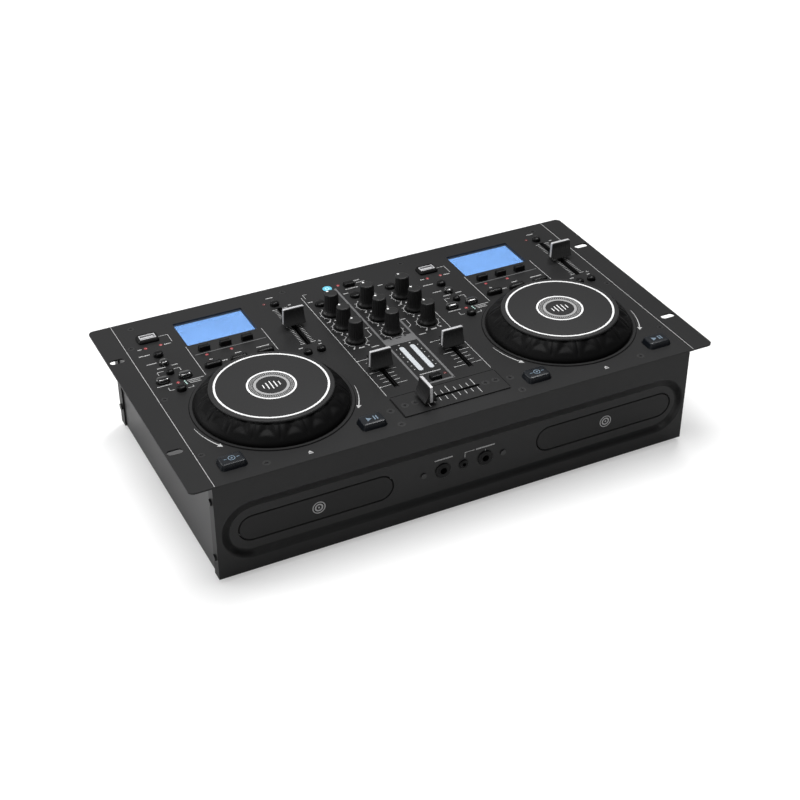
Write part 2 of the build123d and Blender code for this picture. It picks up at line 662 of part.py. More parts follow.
def front_panel():
    sheet = panel(FRONT_Y, FRONT_SCREW_X)
    to_front = Plane(origin=(RECESS_X, FRONT_Y, SLOT_Z), x_dir=(1, 0, 0), z_dir=(0, -1, 0))
    boss = Pos(RECESS_X, FRONT_Y + SHEET_T + RECESS_DEPTH, SLOT_Z) * Rot(90, 0, 0) * extrude(
        stadium(RECESS_HALF - RECESS_BACK, RECESS_R - RECESS_BACK), RECESS_DEPTH)
    outer = to_front * stadium(RECESS_HALF, RECESS_R)
    inner = to_front.offset(-RECESS_DEPTH) * stadium(RECESS_HALF - (RECESS_R - RECESS_FLOOR_R), RECESS_FLOOR_R)
    hollow = loft([inner, outer], ruled=True)
    sheet = sheet + boss - hollow
    back, front = FRONT_Y + 8, FRONT_Y - 2
    cuts = []
    for x in LOADERS.values():
        opening = stadium(FASCIA[0] / 2 + PANEL_GAP, FASCIA[1] / 2 + PANEL_GAP)
        cuts.append(Pos(x, back, SLOT_Z) * Rot(90, 0, 0) * extrude(opening, back - front))
    for x, r in ((MIC_X, JACK_BUSH_R), (PHONES_X, JACK_BUSH_R), (AUX_X, AUX_BUSH_R)):
        cuts.append(rod_y(x, SLOT_Z, r + SCREW_GAP, front, back))
    cuts += [rod_y(side * JACK_SCREW_X, SLOT_Z, SCREW_R + SCREW_GAP, front, back) for side in (-1, 1)]
    return sheet - cuts - flange_holes()


def front_jack(x, bush, bore, size):
    back = FRONT_Y + RECESS_DEPTH + SHEET_T
    face = FRONT_Y + RECESS_DEPTH
    w, h, depth = size
    case = block(x - w / 2, x + w / 2, back, back + depth, SLOT_Z - h / 2, SLOT_Z + h / 2)
    neck = rod_y(x, SLOT_Z, bush, face - 1.4, back)
    return case + neck - rod_y(x, SLOT_Z, bore, face - 3, back + depth - 2)


def rear_panel():
    sheet = panel(REAR_Y, REAR_SCREW_X)
    y0, y1 = REAR_Y - 4, REAR_Y + 2
    cuts = [rod_y(x, z, RCA_R + SCREW_GAP, y0, y1) for x in RCA_X for z in RCA_Z]
    w, h = INLET[0] - INLET_NECK[0], INLET[1] - INLET_NECK[1]
    cuts.append(block(INLET_X - w / 2, INLET_X + w / 2, y0, y1, INLET_Z - h / 2, INLET_Z + h / 2))
    rw, rh = ROCKER[0] + ROCKER_WALL, ROCKER[1] + ROCKER_WALL
    cuts.append(block(ROCKER_X - rw / 2, ROCKER_X + rw / 2, y0, y1, INLET_Z - rh / 2, INLET_Z + rh / 2))
    return sheet - cuts - flange_holes()


def chassis_tray():
    y0, y1 = FRONT_Y + SHEET_T, REAR_Y - SHEET_T
    floor = block(-SIDE_X, SIDE_X, y0, y1, BODY_Z, FLOOR_Z)
    for side in (-1, 1):
        x0, x1 = sorted((side * (SIDE_X - WALL_T), side * SIDE_X))
        floor = floor + block(x0, x1, y0, y1, BODY_Z, UNDER_Z)
        for y in SIDE_SCREW_Y:
            t0, t1 = sorted((side * (SIDE_X - TAB_D), side * SIDE_X))
            floor = floor + block(t0, t1, y - TAB_W / 2, y + TAB_W / 2, UNDER_Z - SHEET_T, UNDER_Z)
    x0, x1, b0, b1 = MAIN_BOARD
    for x in (x0 + 6, x1 - 6):
        for y in (b0 + 5, b1 - 5):
            floor = floor + rod(x, y, 3.0, FLOOR_Z, MAIN_BOARD_Z)
    holes = [rod(side * (SIDE_X - SIDE_INSET), y, SCREW_R + SCREW_GAP, UNDER_Z - 4, UNDER_Z + 1)
             for side in (-1, 1) for y in SIDE_SCREW_Y]
    return floor - holes - flange_holes()


# ---- disc loaders ----
def tooth(height_out, height_in, half_pitch_width):
    # flat-sided tooth about the pitch line, pointing along +X
    a, b = half_pitch_width - height_out * TOOTH_SLOPE, half_pitch_width + height_in * TOOTH_SLOPE
    return Polyline((-height_in, -b), (height_out, -a), (height_out, a), (-height_in, b), close=True)


def tray_gear(dx):
    profile = make_face(tooth(MODULE, 1.3 * MODULE, MODULE * pi / 4 - BACKLASH / 4))
    teeth = [Rot(0, 0, 360 / GEAR_TEETH * i) * Pos(PITCH_R, 0, 0) * extrude(profile, GEAR_T)
             for i in range(GEAR_TEETH)]
    wheel = Cylinder(PITCH_R - ROOT * MODULE, GEAR_T, align=(Align.CENTER, Align.CENTER, Align.MIN)) + teeth
    wheel = wheel - Cylinder(GEAR_POST_R + RUN_GAP, 3 * GEAR_T)
    return Pos(dx + GEAR_X, GEAR_Y, GEAR_Z) * wheel


def rack(dx):
    pitch = MODULE * pi
    profile = make_face(tooth(MODULE, 1.3 * MODULE, MODULE * pi / 4 - BACKLASH / 4))
    count = int((TRAY_TRAVEL + 10) / pitch) + 1
    # the gear has a tooth at 180 degrees, so a gap of the rack faces it at rest
    teeth = [Pos(dx + RACK_LINE_X, GEAR_Y + (i - 1.5) * pitch, TRAY_Z - RACK_H) * extrude(profile, RACK_H)
             for i in range(count)]
    root = dx + RACK_LINE_X - ROOT * MODULE
    bar = block(root - RACK_BODY, root, GEAR_Y - 2.2 * pitch, GEAR_Y + (count - 1) * pitch, TRAY_Z - RACK_H, TRAY_Z)
    return bar, teeth


def disc_tray(dx):
    front = FRONT_Y + RECESS_DEPTH + FASCIA[2]
    body = block(dx - TRAY_HALF, dx + TRAY_HALF, front, TRAY_BACK, TRAY_Z, TRAY_Z + TRAY_H)
    for side in (-1, 1):
        x0, x1 = sorted((dx + side * (TRAY_HALF - RAIL_W), dx + side * TRAY_HALF))
        body = body + block(x0, x1, TRAY_BACK - 1, RAIL_BACK, TRAY_Z, TRAY_Z + TRAY_H)
    recess = rod(dx, SPINDLE_Y, DISC_R + DISC_GAP, TRAY_Z + TRAY_FLOOR, TRAY_Z + TRAY_H + 1)
    small = rod(dx, SPINDLE_Y, SMALL_DISC_R, TRAY_Z + TRAY_FLOOR - 0.8, TRAY_Z + TRAY_H + 1)
    way = block(dx - TRAY_SLOT_R, dx + TRAY_SLOT_R, SPINDLE_Y, TRAY_BACK + 1, TRAY_Z - 1, TRAY_Z + TRAY_H + 1)
    way = way + rod(dx, SPINDLE_Y, TRAY_SLOT_R, TRAY_Z - 1, TRAY_Z + TRAY_H + 1)
    finger = rod(dx, SPINDLE_Y - DISC_R, FINGER_R, TRAY_Z + TRAY_FLOOR, TRAY_Z + TRAY_H + 1)
    bar, teeth = rack(dx)
    return body - [recess, small, way, finger] + bar + teeth


def tray_fascia(dx):
    y = FRONT_Y + RECESS_DEPTH + FASCIA[2]
    face = Pos(dx, y, SLOT_Z) * Rot(90, 0, 0) * extrude(SlotOverall(FASCIA[0], FASCIA[1]), FASCIA[2])
    return fillet(face.faces().sort_by(Axis.Y)[0].edges(), 0.5)


def disc_frame(dx):
    y0 = FRONT_Y + RECESS_DEPTH + FASCIA[2] + 0.5
    y1 = RAIL_BACK + 2
    inner = TRAY_HALF + SLIDE_GAP + 0.1
    z0, z1 = FRAME_FLOOR_Z, FRAME_FLOOR_Z + FRAME_H
    frame = block(dx - inner - FRAME_T, dx + inner + FRAME_T, y0, y1, z0, z0 + FRAME_T)
    for side in (-1, 1):
        x0, x1 = sorted((dx + side * inner, dx + side * (inner + FRAME_T)))
        frame = frame + block(x0, x1, y0, y1, z0, z1)
        l0, l1 = sorted((dx + side * (inner - LEDGE_W), dx + side * (inner + 0.5)))
        for z in (TRAY_Z - SLIDE_GAP - LEDGE_T, TRAY_Z + TRAY_H + SLIDE_GAP):
            frame = frame + block(l0, l1, y0, y1, z, z + LEDGE_T)
        for y in (y0 + 10, y1 - 12):
            frame = frame + rod(dx + side * (inner - 4), y, LEG_R, FLOOR_Z, z0 + LEG_SINK)
    bridge = slab(dx, SPINDLE_Y, (2 * inner + 1, BRIDGE_D), z1 - FRAME_T, z1)
    clamp = rod(dx, SPINDLE_Y, CLAMP_R, TRAY_Z + TRAY_H + CLAMP_LIFT, z1)
    gear_post = rod(dx + GEAR_X, GEAR_Y, GEAR_POST_R, z0, GEAR_Z + GEAR_T)
    gear_seat = rod(dx + GEAR_X, GEAR_Y, GEAR_SEAT_R, z0, GEAR_Z - BACKLASH)
    motor = rod(dx, SPINDLE_Y, MOTOR_R, z0, HUB_Z - HUB_GAP)
    spindle = rod(dx, SPINDLE_Y, SPINDLE_R, z0, HUB_Z + HUB_H - 1)
    frame = frame + [bridge, clamp, gear_post, gear_seat, motor, spindle]
    near, far = SPINDLE_Y + SLED_ROD_Y[0], SPINDLE_Y + SLED_ROD_Y[1]
    for y in (near, far):
        frame = frame + block(dx - ROD_X - 4, dx + ROD_X + 4, y, y + 3, z0, ROD_Z + ROD_R + 1)
    for side in (-1, 1):
        frame = frame + rod_y(dx + side * ROD_X, ROD_Z, ROD_R, near + 1, far + 2)
    return frame


def disc_hub(dx):
    turntable = rod(0, 0, HUB_R, HUB_Z, HUB_Z + HUB_H)
    cone = Pos(0, 0, HUB_Z + HUB_H) * Cone(7.4, 5.5, 2.5, align=(Align.CENTER, Align.CENTER, Align.MIN))
    bore = rod(0, 0, SPINDLE_R + RUN_GAP, HUB_Z - 1, HUB_Z + HUB_H - 0.8)
    return Pos(dx, SPINDLE_Y, 0) * (turntable + cone - bore)


def laser_sled(dx):
    y = SPINDLE_Y + SLED_NEAR
    w, d, h = SLED
    z0 = ROD_Z - 2.4
    width = 2 * ROD_X + 8
    base = block(dx - width / 2, dx + width / 2, y - d / 2, y + d / 2, z0, ROD_Z + 2.4)
    base = base + block(dx - w / 2, dx + w / 2, y - d / 2, y + d / 2, z0, z0 + h)
    base = base + rod(dx, y - 4, 4.0, z0, z0 + h + 0.8)
    bores = [rod_y(dx + side * ROD_X, ROD_Z, ROD_R + RUN_GAP, y - d, y + d) for side in (-1, 1)]
    return base - bores


# ---- inside and rear ----
def usb_bezel(dx):
    w, d, h = USB_BEZEL
    body = pad(dx + USB_X, USB_Y, w, d, 3.0, TOP_Z, TOP_Z + h)
    body = chamfer(body.faces().sort_by(Axis.Z)[-1].edges(), 1.0)
    return body - slab(dx + USB_X, USB_Y, USB_HOLE, TOP_Z - 1, TOP_Z + h + 1)


def usb_socket(dx):
    x, top = dx + USB_X, TOP_Z + USB_BEZEL[2] + 0.3
    bottom = top - USB_DEPTH - 3
    shell = slab(x, USB_Y, USB_SHELL, bottom, top) - slab(x, USB_Y, USB_BORE, top - USB_DEPTH, top + 1)
    tongue = slab(x, USB_Y + 0.6, USB_TONGUE, top - USB_DEPTH - 0.5, top - 1)
    flange = slab(x, USB_Y, (USB_SHELL[0] + 2 * USB_FLANGE, USB_SHELL[1] + 2 * USB_FLANGE), BOARD_Z, BOARD_Z + 1)
    flange = flange - slab(x, USB_Y, USB_SHELL, BOARD_Z - 1, BOARD_Z + 2)
    return shell + tongue + flange


def lcd_lens(dx):
    return pad(dx, LCD_Y, LCD_WINDOW[0] + 2 * LENS_MARGIN, LCD_WINDOW[1] + 2 * LENS_MARGIN, 1.0, LCD_Z, UNDER_Z)


def lcd_module(dx):
    w, d = LCD_WINDOW[0] + 2 * LCD_MARGIN, LCD_WINDOW[1] + 2 * LCD_MARGIN
    body = slab(dx, LCD_Y, (w, d), LCD_Z - LCD_T, LCD_Z)
    return body + slab(dx, LCD_Y, (w + 2 * LCD_EAR, d), LCD_EAR_Z - 2, LCD_EAR_Z)


def power_supply():
    x0, x1, y0, y1 = POWER_BOARD
    top = POWER_BOARD_Z + BOARD_T
    card = block(x0, x1, y0, y1, POWER_BOARD_Z, top)
    for x in (x0 + 5, x1 - 5):
        for y in (y0 + 5, y1 - 5):
            card = card + rod(x, y, 3.0, FLOOR_Z, POWER_BOARD_Z + LEG_SINK)
    dx, dy, w, d, h = TRANSFORMER
    card = card + block(x0 + dx, x0 + dx + w, y0 + dy, y0 + dy + d, top - LEG_SINK, top + h - LEG_SINK)
    r, tall = CAPACITOR
    return card + [rod(x1 + dx, y0 + dy, r, top - LEG_SINK, top + tall - LEG_SINK) for dx, dy in CAPACITORS]


def main_board():
    x0, x1, y0, y1 = MAIN_BOARD
    card = block(x0, x1, y0, y1, MAIN_BOARD_Z, MAIN_BOARD_Z + BOARD_T)
    top = MAIN_BOARD_Z + BOARD_T - 0.2
    return card + [slab(x, REAR_Y + y, (w, w), top, top + h) for x, y, w, h in CHIPS]


def rear_socket(x):
    back, face = REAR_Y - SHEET_T, REAR_Y
    body = block(x - RCA_BODY / 2, x + RCA_BODY / 2, back - RCA_BODY, back, MAIN_BOARD_Z + BOARD_T, RCA_Z[1] + 7)
    for z in RCA_Z:
        body = body + rod_y(x, z, RCA_R, back - 1, face + RCA_RISE)
        body = body - rod_y(x, z, RCA_R - RCA_WALLS[0], face, face + RCA_RISE + 1)
        body = body + rod_y(x, z, RCA_R - RCA_WALLS[1], face - 1, face + RCA_RISE - 1)
        body = body - rod_y(x, z, 1.6, face - 6, face + RCA_RISE + 1)
    return body


def power_inlet():
    w, h, depth = INLET
    face = REAR_Y
    body = block(INLET_X - w / 2, INLET_X + w / 2, face, face + 2, INLET_Z - h / 2, INLET_Z + h / 2)
    cw, ch = w - INLET_NECK[0] - 2 * SCREW_GAP, h - INLET_NECK[1] - 2 * SCREW_GAP
    body = body + block(INLET_X - cw / 2, INLET_X + cw / 2, face - depth, face + 1, INLET_Z - ch / 2, INLET_Z + ch / 2)
    bw, bh, bd = INLET_BORE
    body = body - block(INLET_X - bw / 2, INLET_X + bw / 2, face + 2 - bd, face + 3, INLET_Z - bh / 2, INLET_Z + bh / 2)
    for x, z in INLET_PINS:
        body = body + block(INLET_X + x - 1, INLET_X + x + 1, face + 1 - bd, face - 3, INLET_Z + z - 2, INLET_Z + z + 2)
    return body


def rocker_housing():
    w, h, _ = ROCKER
    rw, rh = w + ROCKER_WALL - 2 * SCREW_GAP, h + ROCKER_WALL - 2 * SCREW_GAP
    rim, rim_t = ROCKER_RIM
    body = slab_y(ROCKER_X, INLET_Z, (rw, rh), REAR_Y - ROCKER_DEPTH, REAR_Y + 1)
    body = body + slab_y(ROCKER_X, INLET_Z, (rw + 2 * rim, rh + 2 * rim), REAR_Y, REAR_Y + rim_t)
    well = slab_y(ROCKER_X, INLET_Z, (w + 2 * ROCKER_GAP, h + 2 * ROCKER_GAP), REAR_Y - 12, REAR_Y + 3)
    bore = rod_x(REAR_Y - ROCKER_PIVOT, INLET_Z, ROCKER_PIN_R + RUN_GAP, ROCKER_X - w / 2 - 2, ROCKER_X + w / 2 + 2)
    return body - well - bore


def power_rocker():
    w, h, _ = ROCKER
    half = h / 2 - 0.6
    y = REAR_Y - ROCKER_PIVOT
    outline_points = [(-half, -2.0), (-half, 3.5), (0, 5.0), (half, 3.5), (half, -2.0)]
    face = make_face(Polyline(*[(b, a) for a, b in outline_points], close=True))
    key_body = extrude(Plane.YZ * face, w / 2, both=True)
    pins = Rot(0, 90, 0) * Cylinder(ROCKER_PIN_R, w + 2.4)
    return Pos(ROCKER_X, y, INLET_Z) * Rot(ROCKER_TILT, 0, 0) * (key_body + pins)


# ---- build ----
def fader_bodies():
    made = [fader_body(x, PITCH_Y, PITCH_TRAVEL, True) for x in PITCHES.values()]
    made += [fader_body(x, CHANNEL_Y, CHANNEL_TRAVEL, True) for x, _ in CHANNELS.values()]
    return made + [crossfader_body()]


def control_boards():
    made = [board(group, dx) for dx in DECKS.values() for group in DECK_BOARDS]
    made += [board(group, 0) for group in MIXER_BOARDS]
    holes = [slab(dx + USB_X, USB_Y, USB_HOLE, BOARD_Z - 5, BOARD_Z + 1)
             for dx in DECKS.values()]
    return [sheet - holes for sheet in made]


def case_screws():
    made = [sunk_screw(x, y, TOP_Z) for x, y in PLATE_SCREWS + list(INNER_SCREWS)]
    made += [nut(x, y) for x, y in INNER_SCREWS]
    top = TOP_Z + CROSS_PLATE_T
    made += [sunk_screw(side * x, CROSS_Y, top, CROSS_SCREW_L) for side in (-1, 1) for x in CROSS_SCREW_X]
    return made + flange_screws() + [jack_screw(side * JACK_SCREW_X) for side in (-1, 1)]


def main():
    os.makedirs("parts", exist_ok=True)
    save("top_plate", top_plate())
    save("crossfader_plate", crossfader_plate())
    save("front_panel", front_panel())
    save("rear_panel", rear_panel())
    save("chassis_tray", chassis_tray())
    feet = [rod(sx * (SIDE_X - 25), sy * (REAR_Y - 20), FOOT_R, 0, FOOT_H) for sx in (-1, 1) for sy in (-1, 1)]
    save("rubber_feet", *feet)
    save("case_screws", *case_screws())
    save("lcd_lenses", *[lcd_lens(dx) for dx in DECKS.values()])
    save("lcd_modules", *[lcd_module(dx) for dx in DECKS.values()])
    save("meter_lenses", meter_lens(-1), meter_lens(1))
    save("usb_bezels", *[usb_bezel(dx) for dx in DECKS.values()])
    save("usb_sockets", *[usb_socket(dx) for dx in DECKS.values()])
    save("status_leds", *[led(*item) for item in ALL_LEDS], light_bar(-1), light_bar(1))
    save("front_jacks", front_jack(MIC_X, JACK_BUSH_R, JACK_R, JACK_BODY),
         front_jack(PHONES_X, JACK_BUSH_R, JACK_R, JACK_BODY), front_jack(AUX_X, AUX_BUSH_R, AUX_R, AUX_BODY))
    save("control_boards", *control_boards())
    save("main_board", main_board())
    save("power_supply", power_supply())
    save("disc_mechanisms", *[disc_frame(x) for x in LOADERS.values()])
    save("rear_sockets", *[rear_socket(x) for x in RCA_X])
    save("power_inlet", power_inlet(), rocker_housing())
    save("jog_posts", *[jog_post(dx) for dx in DECKS.values()])
    save("fader_bodies", *fader_bodies())
    save("knob_potentiometers", *[potentiometer(x, y) for x in KNOB_X for y in KNOB_Y])
    save("key_switches", *[key_switch(*item) for item in ALL_KEYS])
    for name, dx in DECKS.items():
        save(f"{name}_jog_wheel", jog_wheel(dx))
        save(f"{name}_jog_plate", jog_plate(dx))
        save(f"{name}_disc_tray", disc_tray(LOADERS[name]))
        save(f"{name}_tray_fascia", tray_fascia(LOADERS[name]))
        save(f"{name}_tray_gear", tray_gear(LOADERS[name]))
        save(f"{name}_disc_hub", disc_hub(LOADERS[name]))
        save(f"{name}_laser_sled", laser_sled(LOADERS[name]))
        save(f"{name}_pitch_fader", fader_cap(PITCHES[name], PITCH_Y, True))
        x, rest = CHANNELS[name]
        save(f"{name}_channel_fader", fader_cap(x, rest, True))
        save(f"{name}_cue_button", big_key(*moved(CUE_KEY, dx)))
        save(f"{name}_play_button", big_key(*moved(PLAY_KEY, dx)))
        save(f"{name}_deck_buttons", *[key(*moved(item, dx)) for item in DECK_KEYS])
    save("crossfader", fader_cap(CROSS_REST, CROSS_Y, False))
    for column, x in zip(("left", "middle", "right"), KNOB_X):
        for row, y in zip(("front", "centre", "back"), KNOB_Y):
            save(f"{column}_{row}_knob", knob(x, y))
    save("mixer_buttons", *[key(*item) for item in MIXER_KEYS])
    save("power_rocker", power_rocker())


main()
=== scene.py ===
"""Looks for a two-deck disc player with a built-in mixer, made round its packed frame. Lengths are in mm until
a mesh is finished, and in metres from then on."""
import math
import random

import bmesh
import bpy
from mathutils import Matrix, Vector


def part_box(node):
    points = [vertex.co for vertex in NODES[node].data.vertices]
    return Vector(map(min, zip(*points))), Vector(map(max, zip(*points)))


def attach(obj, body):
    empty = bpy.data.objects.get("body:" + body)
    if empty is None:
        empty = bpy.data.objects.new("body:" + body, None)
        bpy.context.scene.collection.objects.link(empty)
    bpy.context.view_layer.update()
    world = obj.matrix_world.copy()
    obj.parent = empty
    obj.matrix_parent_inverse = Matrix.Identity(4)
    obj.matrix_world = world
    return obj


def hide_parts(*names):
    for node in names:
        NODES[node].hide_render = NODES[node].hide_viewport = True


bl_info = {
    "name": "Disc Player Looks",
    "version": (1, 0, 0),
    "blender": (4, 5, 0),
    "location": "3D View > Sidebar > Player",
    "description": "Makes the visible pieces and finishes of a two-deck disc player",
    "category": "Object",
}

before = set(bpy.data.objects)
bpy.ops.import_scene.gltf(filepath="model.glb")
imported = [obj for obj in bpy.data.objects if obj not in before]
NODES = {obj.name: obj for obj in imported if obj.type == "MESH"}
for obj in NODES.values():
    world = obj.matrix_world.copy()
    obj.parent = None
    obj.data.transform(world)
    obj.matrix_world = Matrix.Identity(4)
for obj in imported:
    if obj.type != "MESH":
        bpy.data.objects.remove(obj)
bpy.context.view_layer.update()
MM = 0.001


def mid(node, axis):
    """Middle of a node along an axis, in mm."""
    low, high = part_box(node)
    return (low[axis] + high[axis]) / 2 / MM


# ---- places read from the frame, in mm ----
PLATE_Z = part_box("crossfader_plate")[0].z / MM      # upper face of the top plate
FRONT_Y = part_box("front_panel")[0].y / MM
DECKS = {side: mid(f"{side}_jog_wheel", 0) for side in ("left", "right")}
JOG_Y = mid("left_jog_wheel", 1)
JOG_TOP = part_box("left_jog_plate")[1].z / MM
LCD_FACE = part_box("lcd_lenses")[0].z / MM
LCD_Y = mid("lcd_lenses", 1)
CAP_BASE = PLATE_Z + 3.8
CAP_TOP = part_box("crossfader")[1].z / MM
KNOBS = [f"{column}_{row}_knob" for column in ("left", "middle", "right") for row in ("front", "centre", "back")]
FASCIA_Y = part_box("left_tray_fascia")[0].y / MM
SLOT_Z = mid("left_tray_fascia", 2)

# ---- sizes that the frame doesn't give, in mm ----
RECESS_X = 1.3
RECESS = (218.6, 28.5, 20.5)     # half width, radius at the face, radius at the floor
RECESS_BUMP = 0.007
SCREWS = [(x, FRONT_Y + 6) for x in (-173.5, -56.0, 56.0, 173.5)] + [(-56.0, -98.0), (56.0, -98.0)]
SCREW_SHADE = (2.9, 3.4)           # radii of the painted shade ring round a screw
CROSS_Y = -97.0
CROSS_SCREWS = (-42.5, -33.0, 33.0, 42.5)
PITCH_X, PITCH_Y = 63.2, 60.2    # middle of a pitch fader's slot; x is from the middle of the deck
CHANNEL_X, CHANNEL_Y = 35.25, -40.7
FADER_SLOTS = ([(dx + PITCH_X, PITCH_Y, 34.7) for dx in DECKS.values()]
               + [(side * CHANNEL_X, CHANNEL_Y, 27.2) for side in (-1, 1)])
PRINT_SINK = 0.02                # how far print reaches into the face under it


# ---- sizes and colours a user may change ----
def length(name, text, value, low=0.0, high=1000.0):
    return bpy.props.FloatProperty(name=name, description=text, default=value, min=low, max=high)


def colour(name, text, value):
    return bpy.props.FloatVectorProperty(name=name, description=text, default=value, size=3, subtype="COLOR",
                                         min=0, max=1)


class PlayerSizes(bpy.types.PropertyGroup):
    knob_ribs: bpy.props.IntProperty(name="Knob ribs", description="Grip ribs round a knob", default=24, min=6)
    jog_flutes: bpy.props.IntProperty(name="Jog flutes", description="Finger flutes round a jog wheel", default=17)
    line: length("Line", "Width of a thin printed line, mm", 0.45)
    label: length("Label", "Height of a printed label mark, mm", 1.3)
    print_rise: length("Print rise", "Thickness of the print, mm", 0.05)


class PlayerColours(bpy.types.PropertyGroup):
    plate: colour("Plate", "Powder coat of the top plate", (0.0125, 0.0125, 0.0128))
    case: colour("Case", "Paint of the case sides", (0.04, 0.04, 0.041))
    front: colour("Front", "Paint of the front panel", (0.009, 0.009, 0.0093))
    moulding: colour("Moulding", "Black moulded plastic", (0.007, 0.007, 0.0072))
    white: colour("White print", "White print on the plate", (0.72, 0.72, 0.72))
    grey: colour("Grey print", "Grey print on the plate", (0.1, 0.1, 0.102))
    display: colour("Display", "Lit display", (0.2, 0.46, 1.0))


class StageSettings(bpy.types.PropertyGroup):
    lens: length("Lens", "Focal length for a 36 mm film, mm", 70.03)
    distance: length("Distance", "Camera to the point it looks at, mm", 1365.88, 0, 5000)
    azimuth: bpy.props.FloatProperty(name="Azimuth", description="Camera left of the front, degrees", default=-26.43)
    elevation: bpy.props.FloatProperty(name="Elevation", description="Camera above level, degrees", default=34.22)
    aim: bpy.props.FloatVectorProperty(name="Aim", description="Point the camera looks at, mm", size=3,
                                       default=(-11.29, -25.39, 54.0))


# ---- shader maths ----
class Socket:
    """A shader output that can be used in Python sums."""

    def __init__(self, tree, output):
        self.tree, self.output = tree, output

    def sum(self, operation, *values):
        node = self.tree.nodes.new("ShaderNodeMath")
        node.operation = operation
        for place, value in zip(node.inputs, values):
            connect(self.tree, value, place)
        return Socket(self.tree, node.outputs[0])

    def __abs__(self):
        return self.sum("ABSOLUTE", self)

    def clamp(self):
        return self.sum("MINIMUM", self.sum("MAXIMUM", self, 0.0), 1.0)


SIGNS = {"add": "ADD", "sub": "SUBTRACT", "mul": "MULTIPLY", "truediv": "DIVIDE", "pow": "POWER",
         "gt": "GREATER_THAN", "lt": "LESS_THAN"}
for sign, operation in SIGNS.items():
    setattr(Socket, f"__{sign}__", lambda a, b, does=operation: a.sum(does, a, b))
for sign in ("add", "sub", "mul"):
    setattr(Socket, f"__r{sign}__", lambda a, b, does=SIGNS[sign]: a.sum(does, b, a))


def connect(tree, value, place):
    if isinstance(value, Socket):
        tree.links.new(value.output, place)
    elif hasattr(place, "default_value"):
        if hasattr(place.default_value, "__len__") and len(place.default_value) == 4 and len(value) == 3:
            value = (*value, 1.0)
        place.default_value = value


class Finish:
    """A procedural material with one Principled shader."""

    def __init__(self, name, slot, base, rough, sockets=None):
        self.slot = slot
        self.material = bpy.data.materials.new(name)
        self.material.use_nodes = True
        self.tree = self.material.node_tree
        self.shader = self.tree.nodes["Principled BSDF"]
        self.set("Base Color", base)
        self.set("Roughness", rough)
        for socket, value in (sockets or {}).items():
            self.set(socket, value)
        self.place = self.node("ShaderNodeTexCoord", out="Object")

    def set(self, socket, value):
        connect(self.tree, value, self.shader.inputs[socket])

    def node(self, kind, settings=None, values=None, out=0):
        node = self.tree.nodes.new(kind)
        for key, value in (settings or {}).items():
            setattr(node, key, value)
        for key, value in (values or {}).items():
            connect(self.tree, value, node.inputs[key])
        return Socket(self.tree, node.outputs[out])

    def noise(self, scale, detail=2.0, rough=0.5, stretch=None):
        vector = self.place
        if stretch:
            vector = self.node("ShaderNodeMapping", values={"Vector": vector, "Scale": stretch})
        values = {"Vector": vector, "Scale": scale, "Detail": detail, "Roughness": rough}
        return self.node("ShaderNodeTexNoise", values=values)

    def mix(self, factor, a, b):
        node = self.tree.nodes.new("ShaderNodeMix")
        node.data_type = "RGBA"
        connect(self.tree, factor, node.inputs[0])
        connect(self.tree, a, node.inputs[6])
        connect(self.tree, b, node.inputs[7])
        return Socket(self.tree, node.outputs[2])

    def axes(self):
        node = self.tree.nodes.new("ShaderNodeSeparateXYZ")
        connect(self.tree, self.place, node.inputs[0])
        return [Socket(self.tree, output) for output in node.outputs]

    def bump(self, height, strength, distance):
        values = {"Height": height, "Strength": strength, "Distance": distance}
        self.set("Normal", self.node("ShaderNodeBump", values=values))


def shade(rgb, factor):
    return tuple(min(1.0, channel * factor) for channel in rgb)


def coated(name, slot, base, rough, grain, depth, spread, sheen=0.5):
    """Powder coat or moulded plastic: a fine grain, faint cloudiness and slightly uneven gloss."""
    finish = Finish(name, slot, base, rough, {"Specular IOR Level": sheen})
    fine = finish.noise(grain, 3.0)
    cloud = finish.noise(14.0, 2.0)
    tone = (fine * 0.6 + cloud * 0.4).clamp()
    finish.set("Base Color", finish.mix(tone, shade(base, 1 - spread), shade(base, 1 + spread)))
    finish.set("Roughness", (rough + (cloud - 0.5) * 0.12 + (fine - 0.5) * 0.08).clamp())
    finish.bump(fine, 0.35, depth)
    return finish


FINISHES = {}
PAINT, PRINT = 0.25, 0.08        # how far the grain lightens and darkens a colour
